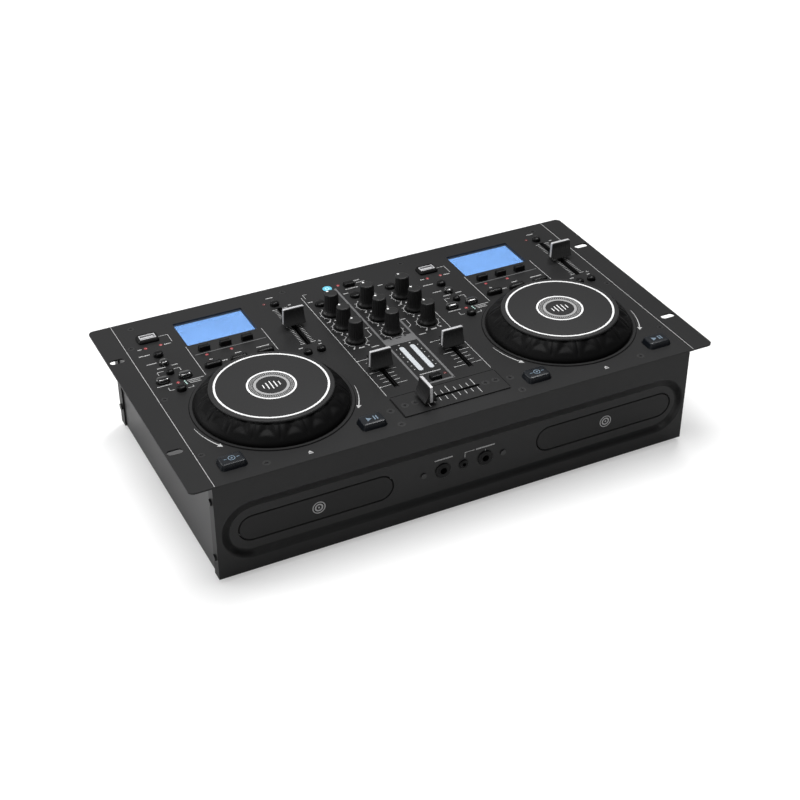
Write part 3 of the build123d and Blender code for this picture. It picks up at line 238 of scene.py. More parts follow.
# key: name, slot, colour or the setting that holds it, roughness, grain, its depth, spread, sheen
COATS = {
    "plate": ("Plate powder coat", "black_steel", "plate", 0.4, 1500.0, 0.00006, PAINT, 0.2),
    "front": ("Front panel paint", "black_steel", "front", 0.42, 1800.0, 0.00004, PAINT, 0.28),
    "case": ("Case paint", "side_steel", "case", 0.38, 1600.0, 0.00004, PAINT, 0.4),
    "fascia": ("Tray fascia plastic", "satin_plastic", "moulding", 0.36, 2200.0, 0.00003, PAINT, 0.22),
    "disc": ("Jog disc plastic", "satin_plastic", (0.016, 0.016, 0.0164), 0.5, 1800.0, 0.00004, PAINT, 0.2),
    "gloss": ("Jog rim plastic", "black_plastic", (0.0028, 0.0028, 0.0029), 0.5, 900.0, 0.00001, PAINT, 0.07),
    "key": ("Key plastic", "black_plastic", (0.004, 0.004, 0.0042), 0.3, 1500.0, 0.00002, PAINT, 0.14),
    "shiny_key": ("Shiny key plastic", "black_plastic", (0.004, 0.004, 0.0043), 0.12, 800.0, 0.00001, PAINT),
    "knob": ("Knob plastic", "black_plastic", (0.01, 0.01, 0.0102), 0.4, 1600.0, 0.00003, PAINT, 0.3),
    "cap": ("Fader cap plastic", "satin_plastic", (0.011, 0.011, 0.0113), 0.34, 1400.0, 0.00003, PAINT),
    "cue": ("Cue key plastic", "blue_grey_plastic", (0.005, 0.0065, 0.009), 0.28, 1500.0, 0.00002, PAINT, 0.35),
    "rubber": ("Foot rubber", "black_rubber", (0.02, 0.02, 0.02), 0.8, 900.0, 0.0001, PAINT),
    "screw": ("Black screw", "black_zinc", (0.008, 0.008, 0.0085), 0.35, 1500.0, 0.00002, PAINT),
    "board": ("Board", "green_board", (0.02, 0.09, 0.035), 0.35, 700.0, 0.00003, PAINT),
    "white_plastic": ("White moulding", "white_plastic", (0.7, 0.7, 0.68), 0.4, 900.0, 0.00002, PAINT),
    "white": ("White print", "white_plastic", "white", 0.55, 1200.0, 0.00001, PRINT),
    "grey": ("Grey print", "black_steel", "grey", 0.5, 1500.0, 0.00002, 0.1),
    "soft_grey": ("Pale print", "white_plastic", (0.3, 0.3, 0.3), 0.55, 1200.0, 0.00001, PRINT),
    "ice": ("Pale blue print", "blue_grey_plastic", (0.13, 0.18, 0.23), 0.4, 900.0, 0.00001, PRINT),
    "blue": ("Blue print", "blue_display", (0.1, 0.42, 0.56), 0.45, 900.0, 0.00001, PRINT),
    "pale_blue": ("Pale blue ring", "blue_display", (0.4, 0.7, 0.8), 0.45, 900.0, 0.00001, PRINT),
    "ink": ("Plate print", "white_plastic", (0.4, 0.4, 0.4), 0.5, 1200.0, 0.00001, 0.1),
    "bright": ("Bright trim", "silver_aluminium", (0.46, 0.46, 0.47), 0.3, 700.0, 0.00001, 0.12),
    # painted shade: a near-black ring round each screw, where its recess is in shade
    "screw_rim": ("Screw recess edge", "black_steel", (0.004, 0.004, 0.004), 0.5, 1500.0, 0.00002, PAINT),
    # painted shade: near-black print laid where shade falls, by the fader slots, round the jog wells, the fascias and
    # the crossfader plate
    "black": ("Slot lining", "black_rubber", (0.003, 0.003, 0.003), 0.7, 900.0, 0.00002, PAINT, 0.1),
}
METALS = {
    "nickel": ("Nickel plate", "nickel", (0.9, 0.89, 0.87), 0.38),
    "zinc": ("Zinc plate", "zinc_steel", (0.55, 0.56, 0.58), 0.35),
}


def make_finishes():
    colours = bpy.context.scene.player_colours
    for key, (name, slot, base, *rest) in COATS.items():
        base = tuple(getattr(colours, base)) if isinstance(base, str) else base
        FINISHES[key] = coated(name, slot, base, *rest)
    FINISHES["shiny_key"].set("Coat Weight", 1.0)
    press_recess(FINISHES["front"])
    make_metals()
    make_lit(FINISHES, tuple(colours.display))


def press_recess(front):
    """Shades the slope of the pressed recess a little more than its shape does."""
    x, y, z = front.axes()
    half, outer, inner = (size * MM for size in RECESS)
    along = abs(x - RECESS_X * MM) - (half - outer)
    past = (along + abs(along)) * 0.5
    up = z - SLOT_Z * MM
    reach = (past * past + up * up) ** 0.5
    slope = ((reach - inner) / (outer - inner)).clamp()
    slope = slope * slope * (3.0 - 2.0 * slope)
    front.bump(slope * RECESS_BUMP + front.noise(1800.0, 3.0) * 0.00001, 1.0, 1.0)


def make_metals():
    """Plated metals: streaks along X change the gloss and the colour a little."""
    for key, (name, slot, base, rough) in METALS.items():
        finish = Finish(name, slot, base, rough, {"Metallic": 1.0})
        streak = finish.noise(900.0, 3.0, 0.6, (0.04, 1.0, 1.0))
        finish.set("Base Color", finish.mix(streak, shade(base, 0.82), base))
        finish.set("Roughness", (rough + (streak - 0.5) * 0.25).clamp())
        finish.bump(streak, 0.2, 0.00001)
        FINISHES[key] = finish


LAMPS = {
    "red": ("Red lamp", (0.3, 0.05, 0.055), 0.2),
    "dim": ("Dim red lamp", (0.12, 0.02, 0.02), 0.05),
    "mint": ("Green lamp", (0.5, 0.72, 0.66), 0.2),
}


def make_lit(made, blue):
    """The lit displays, the windows over them, the meter bars and the lamps."""
    made["display"] = lit_display(blue)
    lens = Finish("Display window", "clear_window", (0.5, 0.6, 0.75), 0.06, {"Alpha": 0.06})
    lens.set("Roughness", 0.04 + lens.noise(40.0, 2.0) * 0.05)
    made["lens"] = lens
    bar = Finish("Meter window", "white_lens", (0.8, 0.82, 0.84), 0.3)
    segment = bar.node("ShaderNodeTexWave", {"wave_type": "BANDS", "bands_direction": "Y"},
                       {"Vector": bar.place, "Scale": 70.0})
    bar.set("Base Color", bar.mix((segment * 0.35).clamp(), (0.46, 0.48, 0.5), (0.36, 0.38, 0.4)))
    bar.set("Emission Color", (0.8, 0.85, 0.9))
    bar.set("Emission Strength", 0.08)
    made["meter"] = bar
    for key, (name, tint, power) in LAMPS.items():
        lamp = Finish(name, "led_plastic", tint, 0.15)
        lamp.set("Base Color", lamp.mix(lamp.noise(900.0, 1.0), shade(tint, 0.7), tint))
        lamp.set("Emission Color", tint)
        lamp.set("Emission Strength", power)
        made[key] = lamp


def lit_display(blue):
    """A blue panel with faint rows, pale along its left and near edges and dark along the others."""
    display = Finish("Lit display", "blue_display", (0.02, 0.03, 0.05), 0.25)
    x, y, z = display.axes()
    deck = DECKS["right"] * MM
    inside = (abs(abs(x) - deck) < 0.0335) * (z > (LCD_FACE - 0.1) * MM)
    across = (x - ((x > 0.0) * 2.0 - 1.0) * deck) / 0.0325
    along = (y - LCD_Y * MM) / 0.02
    glow = display.noise(9.0, 1.0)
    rows = display.node("ShaderNodeTexWave", {"wave_type": "BANDS", "bands_direction": "Y"},
                        {"Vector": display.place, "Scale": 480.0})
    panel = display.mix(0.95 + glow * 0.1 - rows * 0.02, (0, 0, 0), blue)
    # rim: painted highlight along the left and near edges of the window
    rim = (((0.0 - across - 0.975) * 60.0).clamp() + ((0.0 - along - 0.96) * 40.0).clamp()).clamp()
    # lip: painted shade along the rear and right edges, where the window's walls shade the display
    lip = (((across - 0.972) * 60.0).clamp() + ((along - 0.945) * 40.0).clamp()).clamp()
    lit = display.mix(lip, display.mix(rim, panel, (0.42, 0.56, 0.8)), (0.004, 0.006, 0.01))
    display.set("Emission Color", display.mix(inside, (0, 0, 0), lit))
    display.set("Emission Strength", 1.5)
    return display


# ---- meshes ----
def finish_mesh(name, mesh_data, body, finishes, smooth=None):
    """Makes a piece from vertices in mm, faces and perhaps slots, with its finishes and its body."""
    vertices, faces, *slots = mesh_data
    mesh = bpy.data.meshes.new(name)
    mesh.from_pydata([tuple(v) for v in vertices], [], faces)
    if slots:
        mesh.polygons.foreach_set("material_index", slots[0])
    mesh.transform(Matrix.Scale(MM, 4))
    piece = bpy.data.objects.new(name, mesh)
    bpy.context.scene.collection.objects.link(piece)
    for key in finishes:
        mesh.materials.append(FINISHES[key].material)
    if smooth is not None:
        mesh.shade_smooth()
        mesh.set_sharp_from_angle(angle=math.radians(smooth))
    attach(piece, body)
    return piece


def lathe(profile, segments, radius_at=None, centre=(0.0, 0.0), closed=False):
    """Turns a profile of (r, z) points: it ends on the axis, or is closed and makes a ring. radius_at changes r
    with the angle."""
    vertices, faces, rings = [], [], []
    for r, z in profile:
        if r < 1e-6:
            rings.append([len(vertices)])
            vertices.append((centre[0], centre[1], z))
            continue
        ring = []
        for i in range(segments):
            angle = 2 * math.pi * i / segments
            radius = radius_at(r, z, angle) if radius_at else r
            ring.append(len(vertices))
            vertices.append((centre[0] + radius * math.cos(angle), centre[1] + radius * math.sin(angle), z))
        rings.append(ring)
    if closed:
        rings.append(rings[0])
    for a, b in zip(rings, rings[1:]):
        for i in range(segments):
            j = (i + 1) % segments
            if len(a) == 1:
                faces.append((a[0], b[j], b[i]))
            elif len(b) == 1:
                faces.append((a[i], a[j], b[0]))
            else:
                faces.append((a[i], a[j], b[j], b[i]))
    return vertices, faces


def polar(centre, radius, angle):
    """Point at an angle in degrees."""
    angle = math.radians(angle)
    return centre[0] + radius * math.cos(angle), centre[1] + radius * math.sin(angle)


def arc_points(centre, radius, start, end, steps):
    return [polar(centre, radius, start + (end - start) * i / steps) for i in range(steps + 1)]


def rounded(x, y, w, d, corner, steps=6):
    """Outline of a rectangle with rounded corners, an oval or a circle."""
    corner = min(corner, w / 2, d / 2)
    points = []
    for sx, sy, start in ((1, 1, 0), (-1, 1, 90), (-1, -1, 180), (1, -1, 270)):
        centre = (x + sx * (w / 2 - corner), y + sy * (d / 2 - corner))
        points += arc_points(centre, corner, start, start + 90, steps)
    kept = []
    for point in points:
        if not kept or math.dist(point, kept[-1]) > 1e-4:
            kept.append(point)
    if math.dist(kept[0], kept[-1]) < 1e-4:
        kept.pop()
    return kept


def stack(layers):
    """Joins outlines of equal length, each a list of (x, y) with a z, into a closed solid."""
    vertices, faces = [], []
    count = len(layers[0][0])
    for outline, z in layers:
        vertices += [(x, y, z) for x, y in outline]
    for level in range(len(layers) - 1):
        a, b = level * count, (level + 1) * count
        for i in range(count):
            j = (i + 1) % count
            faces.append((a + i, a + j, b + j, b + i))
    faces.append(tuple(reversed(range(count))))
    faces.append(tuple(range((len(layers) - 1) * count, len(layers) * count)))
    return vertices, faces


class Shapes:
    """Collects closed solids for one mesh."""

    def __init__(self):
        self.vertices, self.faces, self.slots = [], [], []

    def add(self, solid, slot=0, place=None):
        start = len(self.vertices)
        vertices = [place @ Vector(v) for v in solid[0]] if place else solid[0]
        self.vertices += [tuple(v) for v in vertices]
        self.faces += [tuple(start + i for i in face) for face in solid[1]]
        self.slots += [slot] * len(solid[1])

    def data(self):
        return self.vertices, self.faces, self.slots


# ---- repeats by Geometry Nodes ----
def round_tree(name):
    """Copies an object round a centre, then makes it real and sets its material."""
    tree = bpy.data.node_groups.new(name, "GeometryNodeTree")
    tree.interface.new_socket("Geometry", in_out="OUTPUT", socket_type="NodeSocketGeometry")
    for label, kind in (("Piece", "NodeSocketObject"), ("Count", "NodeSocketInt"),
                        ("Centre", "NodeSocketVector"), ("Finish", "NodeSocketMaterial")):
        tree.interface.new_socket(label, in_out="INPUT", socket_type=kind)

    def add(kind, **settings):
        node = tree.nodes.new(kind)
        for key, value in settings.items():
            setattr(node, key, value)
        return node

    given, result = add("NodeGroupInput"), add("NodeGroupOutput")
    line, index = add("GeometryNodeMeshLine"), add("GeometryNodeInputIndex")
    line.inputs["Offset"].default_value = (0, 0, 0)
    share, full = add("ShaderNodeMath", operation="DIVIDE"), add("ShaderNodeMath", operation="MULTIPLY")
    full.inputs[1].default_value = 2 * math.pi
    turn, place = add("ShaderNodeCombineXYZ"), add("GeometryNodeSetPosition")
    info, copy = add("GeometryNodeObjectInfo"), add("GeometryNodeInstanceOnPoints")
    real, paint = add("GeometryNodeRealizeInstances"), add("GeometryNodeSetMaterial")
    for source, out, target, into in (
            (given, "Count", line, "Count"), (index, 0, share, 0), (given, "Count", share, 1), (share, 0, full, 0),
            (full, 0, turn, 2), (line, 0, place, "Geometry"), (given, "Centre", place, "Offset"),
            (place, 0, copy, "Points"), (given, "Piece", info, 0), (info, "Geometry", copy, "Instance"),
            (turn, 0, copy, "Rotation"), (copy, 0, real, 0), (real, 0, paint, 0),
            (given, "Finish", paint, "Material"), (paint, 0, result, 0)):
        tree.links.new(source.outputs[out], target.inputs[into])
    return tree


def copies(name, body, solid, count, centre, finish):
    """A plain mesh of count copies of a solid (mm) round a centre."""
    seed = bpy.data.meshes.new(name + "_seed")
    seed.from_pydata([tuple(v) for v in solid[0]], [], solid[1])
    seed.transform(Matrix.Scale(MM, 4))
    seed_object = bpy.data.objects.new(name + "_seed", seed)
    holder = bpy.data.objects.new(name + "_holder", bpy.data.meshes.new(name + "_holder"))
    for item in (seed_object, holder):
        bpy.context.scene.collection.objects.link(item)
    tree = bpy.data.node_groups.get("Copies round") or round_tree("Copies round")
    modifier = holder.modifiers.new("Copies", "NODES")
    modifier.node_group = tree
    names = {item.name: item.identifier for item in tree.interface.items_tree if item.in_out == "INPUT"}
    modifier[names["Piece"]] = seed_object
    modifier[names["Count"]] = count
    modifier[names["Centre"]] = tuple(value * MM for value in centre)
    modifier[names["Finish"]] = FINISHES[finish].material
    graph = bpy.context.evaluated_depsgraph_get()
    mesh = bpy.data.meshes.new_from_object(holder.evaluated_get(graph))
    mesh.name = name
    bpy.data.objects.remove(holder)
    bpy.data.objects.remove(seed_object)
    piece = bpy.data.objects.new(name, mesh)
    bpy.context.scene.collection.objects.link(piece)
    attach(piece, body)
    return piece


# ---- print ----
class Print(Shapes):
    """Thin raised print on a flat face. Points are (x, y) on that face; the first finish is the usual one."""

    def __init__(self, base, rise, finishes, seed=1):
        super().__init__()
        self.base, self.top = base - PRINT_SINK, base + rise
        self.finishes = finishes
        self.random = random.Random(seed)

    def patch(self, outline, finish=None):
        slot = self.finishes.index(finish) if finish else 0
        self.add(stack([(outline, self.base), (outline, self.top)]), slot)

    def bar(self, x0, x1, y0, y1, finish=None):
        self.patch([(x0, y0), (x1, y0), (x1, y1), (x0, y1)], finish)

    def line(self, points, width, finish=None):
        """A mitred line through the points."""
        left, right = [], []
        for i, point in enumerate(points):
            before = Vector(points[max(i - 1, 0)])
            after = Vector(points[min(i + 1, len(points) - 1)])
            here = Vector(point)
            a = (here - before).normalized() if i else (after - here).normalized()
            b = (after - here).normalized() if i < len(points) - 1 else a
            along = (a + b).normalized()
            side = Vector((-along.y, along.x)) * (width / 2 / max(0.5, along.dot(a)))
            left.append(tuple(here + side))
            right.append(tuple(here - side))
        self.band(right, left, finish, closed=False)

    def arc(self, centre, radius, start, end, width, steps=None):
        steps = steps or max(6, int(abs(end - start) / 5))
        self.line(arc_points(centre, radius, start, end, steps), width)

    def ring(self, centre, inner, outer, finish=None, steps=96):
        a = arc_points(centre, inner, 0, 360, steps)
        b = arc_points(centre, outer, 0, 360, steps)
        for i in range(steps):
            self.patch([a[i], b[i], b[i + 1], a[i + 1]], finish)

    def band(self, outer, inner, finish=None, closed=True):
        """A strip between two rows of as many points each."""
        for i in range(len(outer) - (not closed)):
            k = (i + 1) % len(outer)
            self.patch([outer[i], outer[k], inner[k], inner[i]], finish)

    def dot(self, x, y, radius, finish=None, steps=12):
        self.patch(arc_points((x, y), radius, 0, 360 - 360 / steps, steps - 1), finish)

    def label(self, x, y, width, height):
        """A row of short marks of uneven width and height."""
        at, end = x - width / 2, x + width / 2
        while at < end - 0.3:
            step = min(self.random.uniform(0.8, 1.5), end - at)
            self.bar(at, at + step * 0.78, y - height / 2, y + height / 2 * self.random.uniform(0.75, 1))
            at += step


# print of one deck; x is from the middle of the deck
DECK_LINES = (
    ((-34.7, 69), (-34.7, 20)), ((35.8, 69), (35.8, 30)),
    ((-50.6, 96), (-42.1, 96), (-42.1, 83.5)),
    ((-70.4, 36), (-70.4, 41), (-65, 41)), ((-50.6, 36), (-50.6, 41), (-56, 41)),
    ((-69.6, 15), (-69.6, 10.5), (-65.6, 10.5)), ((-49.6, 10.5), (-49.6, 8), (-54.6, 8)),
    ((72.0, 27), (75.0, 27)), ((73.5, 25.5), (73.5, 28.5)),
)
DECK_LABELS = (                  # x, y, width, share of the usual height
    (-22, 41, 3, 1), (3, 41, 6, 1), (26, 41, 12, 1), (-11.6, 34.5, 5, 1), (-72, 82, 4, 1), (-47, 81.5, 6, 1),
    (-71.6, 71, 10, 0.9), (-70.1, 56, 9, 0.9), (-64.8, 46.5, 7.6, 0.9), (-52.6, 47, 6, 0.9), (-71.1, 19.6, 13, 0.9),
    (-44.3, 18.9, 14.6, 0.7), (-45.8, 16.6, 10.4, 0.7), (-45.5, 14.3, 9.8, 0.7),
    (62, 114, 7, 1), (74, 95, 3, 1), (72, 22.5, 3, 1), (54, 22.5, 4, 1),
)
ARROWS = ((186, 211), (-6, -30))     # angles where an arrow starts and where its head sits
# radii of rings of painted shade in the gap round a jog wheel and along the well's outer edge
WELL_SHADE_RINGS = ((63.0, 65.75), (68.02, 68.75))


def deck_print(ink, dx, line, tall):
    """Lines, marks, pitch scale, arrows and eject mark of one deck."""
    for points in DECK_LINES:
        ink.line([(dx + x, y) for x, y in points], line)
    ink.line([(dx - 32, 53), (dx + 33.5, 53)], 0.9, "grey")
    for x, y, width, share in DECK_LABELS:
        ink.label(dx + x, y, width, tall * share)
    pitch_scale(ink, dx + PITCH_X)
    for start, end in ARROWS:
        jog_arrow(ink, (dx, JOG_Y), start, end)
    # eject mark: a triangle over a bar
    ink.patch([(dx - 2.0, -120.9), (dx + 2.0, -120.9), (dx, -118.6)])
    ink.bar(dx - 2.0, dx + 2.0, -122.6, -121.7)


def pitch_scale(ink, x):
    """Ticks beside a pitch fader, longer at the middle and the ends, and the dark edges of its slot."""
    for side in (-1, 1):
        for i in range(-12, 13):
            y = PITCH_Y + i * 2.65
            near, far, finish = (2.6, 7.2, "ink") if i % 12 == 0 else (3.2, 6.0, "soft_grey")
            a, b = sorted((x + side * near, x + side * far))
            ink.bar(a, b, y - 0.3, y + 0.3, finish)
        # painted shade along both edges of the slot
        edge = x + side * 1.75
        ink.bar(edge - 0.35, edge + 0.35, 25.5, 94.5, "black")


def jog_arrow(ink, centre, start, end):
    """A curved arrow by the well: the line widens towards the head."""
    steps = 14
    for i in range(steps):
        a, b = (start + (end - start) * k / steps for k in (i, i + 1))
        ink.arc(centre, 71.3, a, b, 0.35 + 0.7 * i / steps, 1)
    tip = end + math.copysign(3.6, end)
    head = [polar(centre, radius, angle) for radius, angle in ((69.2, end), (73.6, end), (71.4, tip))]
    ink.patch(head if end > 0 else head[::-1])


# print of the mixer
KNOB_XS, KNOB_YS = (-35.2, 0.0, 35.2), (12.9, 38.5, 64.0)
MIXER_LABELS = (
    (-44.5, 90.5, 5), (-9, 90.5, 5), (26, 90.5, 5), (8.5, 108.8, 9), (12.0, 104.4, 8), (0, 97.3, 13),
    (-17, 27.5, 5), (17.5, 27.0, 5), (0, -60.5, 20), (-24, -3.0, 7), (22, -3.0, 7), (-44, 51, 4), (26.4, 50.2, 4),
)
MIXER_LINES = (
    [(-19, 24.5), (-19, 15), (-23, 13)], [(19.5, 24), (19.5, 15), (16, 12)], [(-42, 105), (-46, 105), (-46, 98)],
)
METER_TICKS = (-16.5, -24.0, -30.0, -38.0, -45.0, -51.0)
CHANNEL_TICKS = (-18.5, -24.1, -29.6, -35.2, -40.7, -46.3, -51.8, -57.4, -63.0)


def mixer_print(ink, line, tall):
    """Lines, knob scales, meter dots and channel fader scales."""
    for side in (-1, 1):
        ink.line([(side * 49.25, 101), (side * 49.25, -77)], line)
        ink.bar(*sorted((side * 13.5, side * 15.5)), -75.5, 103, "grey")
    ink.bar(-15.5, 15.5, -76.5, -74.5, "grey")
    ink.bar(-13.5, 13.5, -8.5, 2.5, "grey")
    for x in KNOB_XS:
        for y in KNOB_YS:
            knob_scale(ink, x, y, line)
    for x, y, width in MIXER_LABELS:
        ink.label(x, y, width, tall * 0.9)
    for points in MIXER_LINES:
        ink.line(points, line)
    for side in (-1, 1):
        for y in METER_TICKS:
            ink.dot(side * 10.2, y, 0.55)
        ink.dot(side * 5.2, -11.0, 0.7)
        channel_scale(ink, side * CHANNEL_X, line)


def channel_scale(ink, x, line):
    """Ticks beside a channel fader and the dark edges of its slot."""
    for i, y in enumerate(CHANNEL_TICKS):
        near, far = (3.0, 12.5) if i % 4 == 0 else (2.6, 8.0)
        for side in (-1, 1):
            a, b = sorted((x + side * near, x + side * far))
            ink.bar(a, b, y - line / 2, y + line / 2)
    # painted shade along both edges of the slot
    for side in (-1, 1):
        edge = x + side * 1.85
        ink.bar(edge - 0.45, edge + 0.45, -68.5, -13.0, "black")
    for y in (CHANNEL_TICKS[0], CHANNEL_TICKS[-1]):
        ink.dot(x - 13.0, y, 0.7)


def knob_scale(ink, x, y, line):
    """Ticks round a knob from its low stop to its high one, with heavier ends."""
    start = 9.9
    for low, high in ((122, 238), (-58, 58)):
        ink.arc((x, y), start, low, high, line * 0.9)
    for i in range(11):
        angle = -60 + 30 * i
        end = 12.6 if i in (0, 5, 10) else 11.6
        ink.line([polar((x, y), radius, angle) for radius in (start, end)], line * (1.3 if i in (0, 10) else 1.0))
    for side in (-1, 1):
        ink.dot(x + side * 7.0, y - 11.6, 0.9)
    ink.label(x, y - 12.4, 5.5, 1.6)


def make_print():
    sizes = bpy.context.scene.player_sizes
    ink = Print(PLATE_Z, sizes.print_rise,
                ["ink", "grey", "soft_grey", "black", "pale_blue", "blue", "screw_rim"])
    for dx in DECKS.values():
        deck_print(ink, dx, sizes.line, sizes.label)
    mixer_print(ink, sizes.line, sizes.label)
    for side in (-1, 1):
        ink.line([(side * 220.7, -129.4), (side * 220.7, 129.4)], sizes.line)
    # blue spot behind the knobs
    spot = (-20.8, 106.3)
    ink.ring(spot, 2.2, 4.4, "blue", 40)
    ink.ring(spot, 1.2, 2.2, "pale_blue", 40)
    ink.dot(*spot, 1.2, "blue", 24)
    # painted shade in the gap round each jog wheel
    for dx in DECKS.values():
        for radii in WELL_SHADE_RINGS:
            ink.ring((dx, JOG_Y), *radii, "black", 160)
    # painted shade along both sides of each fader slot
    for x, y, half in FADER_SLOTS:
        for edge in (-1.95, 1.4):
            ink.bar(x + edge, x + edge + 0.55, y - half, y + half, "black")
    # painted shade round each screw
    for screw in SCREWS:
        ink.ring(screw, *SCREW_SHADE, "screw_rim", 24)
    finish_mesh("plate_print", ink.data(), "chassis", ink.finishes)
    crossfader_print(sizes.print_rise)


def crossfader_print(rise):
    """The scale and the dark edges on the crossfader's own plate."""
    low, high = (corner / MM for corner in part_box("crossfader_plate"))
    ink = Print(high.z, rise, ["ink", "screw_rim", "black"])
    for i in range(-4, 5):
        x = 6.0 * i
        ends = ((-95, -86), (-108, -99)) if i in (-4, 0, 4) else ((-95, -90), (-104, -99))
        for y0, y1 in ends:
            ink.bar(x - 0.3, x + 0.3, y0, y1)
    # painted shade round each screw
    for x in CROSS_SCREWS:
        ink.ring((x, CROSS_Y), *SCREW_SHADE, "screw_rim", 24)
    # painted shade along the rear and side edges of the crossfader plate
    ink.bar(low.x + 1.0, high.x - 1.0, high.y - 0.8, high.y - 0.1, "black")
    for edge in (low.x + 0.1, high.x - 0.7):
        ink.bar(edge, edge + 0.6, low.y + 1.5, high.y - 1.5, "black")
    finish_mesh("crossfader_print", ink.data(), "chassis", ink.finishes)


def fascia_outline(side, grow):
    """Outline of a tray fascia from the front, grown by some mm."""
    node = f"{side}_tray_fascia"
    low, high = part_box(node)
    w, h = (high.x - low.x) / MM + 2 * grow, (high.z - low.z) / MM + 2 * grow
    return rounded(mid(node, 0), SLOT_Z, w, h, h / 2)


def upright(ink):
    """Print turned from lying flat to standing on the front."""
    stand = Matrix(((1, 0, 0), (0, 0, -1), (0, 1, 0))).to_4x4()
    return [stand @ Vector(v) for v in ink.vertices], ink.faces, ink.slots


def make_front_print():
    """Marks over the sockets, the gap round each fascia and a plain disc outline on it."""
    sizes = bpy.context.scene.player_sizes
    face = -FASCIA_Y
    ink = Print(face, sizes.print_rise, ["ink", "black"], 4)
    over = SLOT_Z + 11.5
    ink.label(-19.0, over, 17.0, sizes.label)
    ink.line([(1.0, SLOT_Z + 6.5), (1.0, over), (10.0, over)], sizes.line)
    ink.line([(20.5, SLOT_Z + 6.5), (20.5, SLOT_Z + 9.0)], sizes.line)
    ink.label(20.5, over, 18.0, sizes.label)
    # painted shade round each fascia, on the front panel
    for side in DECKS:
        ink.band(fascia_outline(side, 0.95), fascia_outline(side, 0.55), "black")
    finish_mesh("front_print", upright(ink), "chassis", ink.finishes)
    for side in DECKS:
        mark = Print(face, sizes.print_rise, ["soft_grey", "black"])
        # painted shade along the edge of the fascia, inside the gap
        mark.band(fascia_outline(side, -0.05), fascia_outline(side, -0.5), "black")
        centre = (mid(f"{side}_tray_fascia", 0) + 1.2, SLOT_Z)
        mark.ring(centre, 4.9, 5.8, steps=40)
        mark.ring(centre, 2.4, 3.7, steps=40)
        mark.dot(*centre, 0.9, steps=16)
        finish_mesh(f"{side}_fascia_mark", upright(mark), f"{side}_tray", mark.finishes)


# ---- jog wheels ----
def flute_radius(flutes, low, high, depth):
    """Radius at an angle: wide scoops that fade out low down, with a narrow groove in each land between them."""
    def radius(r, z, angle):
        share = (angle * flutes / (2 * math.pi)) % 1.0
        across = abs(share - 0.5) * 2
        rise = min(1.0, max(0.0, (z - low) / (high - low)))
        scoop = 0.5 + 0.5 * math.cos(math.pi * min(1.0, across / 0.66))
        foot = 0.16 + 0.2 * (1 - min(1.0, across / 0.66) ** 2)
        fade = min(1.0, max(0.0, (rise - foot) / 0.3))
        groove = max(0.0, 1 - (1 - across) / 0.12)
        low_fade = min(1.0, max(0.0, (rise - 0.08) / 0.2))
        return r - depth * scoop ** 0.7 * fade * fade * (3 - 2 * fade) - 0.8 * groove * low_fade
    return radius


JOG_BORE, JOG_INNER, JOG_R = 4.05, 58.5, 64.5
JOG_BARS = (2.6, 4.6, 5.8, 4.6, 2.6)     # half lengths of the bars in the middle of a disc
RIM_SIDES, DISC_SIDES = 480, 192


def rim_profile(base, skirt, top):
    """Hollow underside, skirt and bulging slope of a jog rim."""
    profile = [(JOG_BORE, base + 1), (JOG_INNER, base + 1), (JOG_INNER, base), (JOG_R - 0.5, base)]
    profile += [(JOG_R - 0.72 * (i / 4) ** 2, base + 0.5 + 3.0 * i / 4) for i in range(5)]
    steps, low_r, high_r = 22, 63.4, 53.2
    for i in range(steps + 1):
        t = i / steps
        rise = (top - 0.9 - skirt) * t + 1.1 * math.sin(math.pi * t)
        profile.append((low_r + (high_r - low_r) * t, skirt + rise))
    return profile + [(53.0, top - 0.4), (52.6, top), (JOG_BORE, top)]


def make_jogs():
    sizes = bpy.context.scene.player_sizes
    base, top = PLATE_Z + 0.5, JOG_TOP - 2.0
    skirt = base + 4.2
    flutes = flute_radius(sizes.jog_flutes, skirt, top, 2.9)
    for side, dx in DECKS.items():
        centre, body = (dx, JOG_Y), f"{side}_jog"
        rim = lathe(rim_profile(base, skirt, top), RIM_SIDES, flutes, centre, closed=True)
        wheel = finish_mesh(f"{side}_jog_rim", rim, body, ["gloss"], 30)
        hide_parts(f"{side}_jog_wheel")
        edge = [(0, JOG_TOP - 1.98), (51.6, JOG_TOP - 1.98), (52.0, JOG_TOP - 1.6)]
        edge += arc_points((50.8, JOG_TOP - 1.2), 1.2, 0, 90, 6) + [(0, JOG_TOP)]
        disc = finish_mesh(f"{side}_jog_disc", lathe(edge, DISC_SIDES, None, centre), body, ["disc"], 30)
        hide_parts(f"{side}_jog_plate")
        ink = Print(JOG_TOP, sizes.print_rise, ["white", "soft_grey"])
        ink.ring(centre, 46.1, 47.8, steps=160)
        ink.ring(centre, 19.1, 20.8)
        ink.ring(centre, 17.7, 18.1, "soft_grey")
        ink.ring(centre, 12.7, 15.0, "soft_grey")
        for i, tall in enumerate(JOG_BARS):
            x = dx + 3.5 * (i - 2)
            ink.bar(x - 0.45, x + 0.45, JOG_Y - tall, JOG_Y + tall)
        finish_mesh(f"{side}_jog_rings", ink.data(), body, ink.finishes)
        outline = [(15.6, -0.34), (17.4, -0.34), (17.4, 0.34), (15.6, 0.34)]
        tick = stack([(outline, ink.base), (outline, ink.top)])
        copies(f"{side}_jog_ticks", body, tick, 60, (dx, JOG_Y, 0.0), "soft_grey")


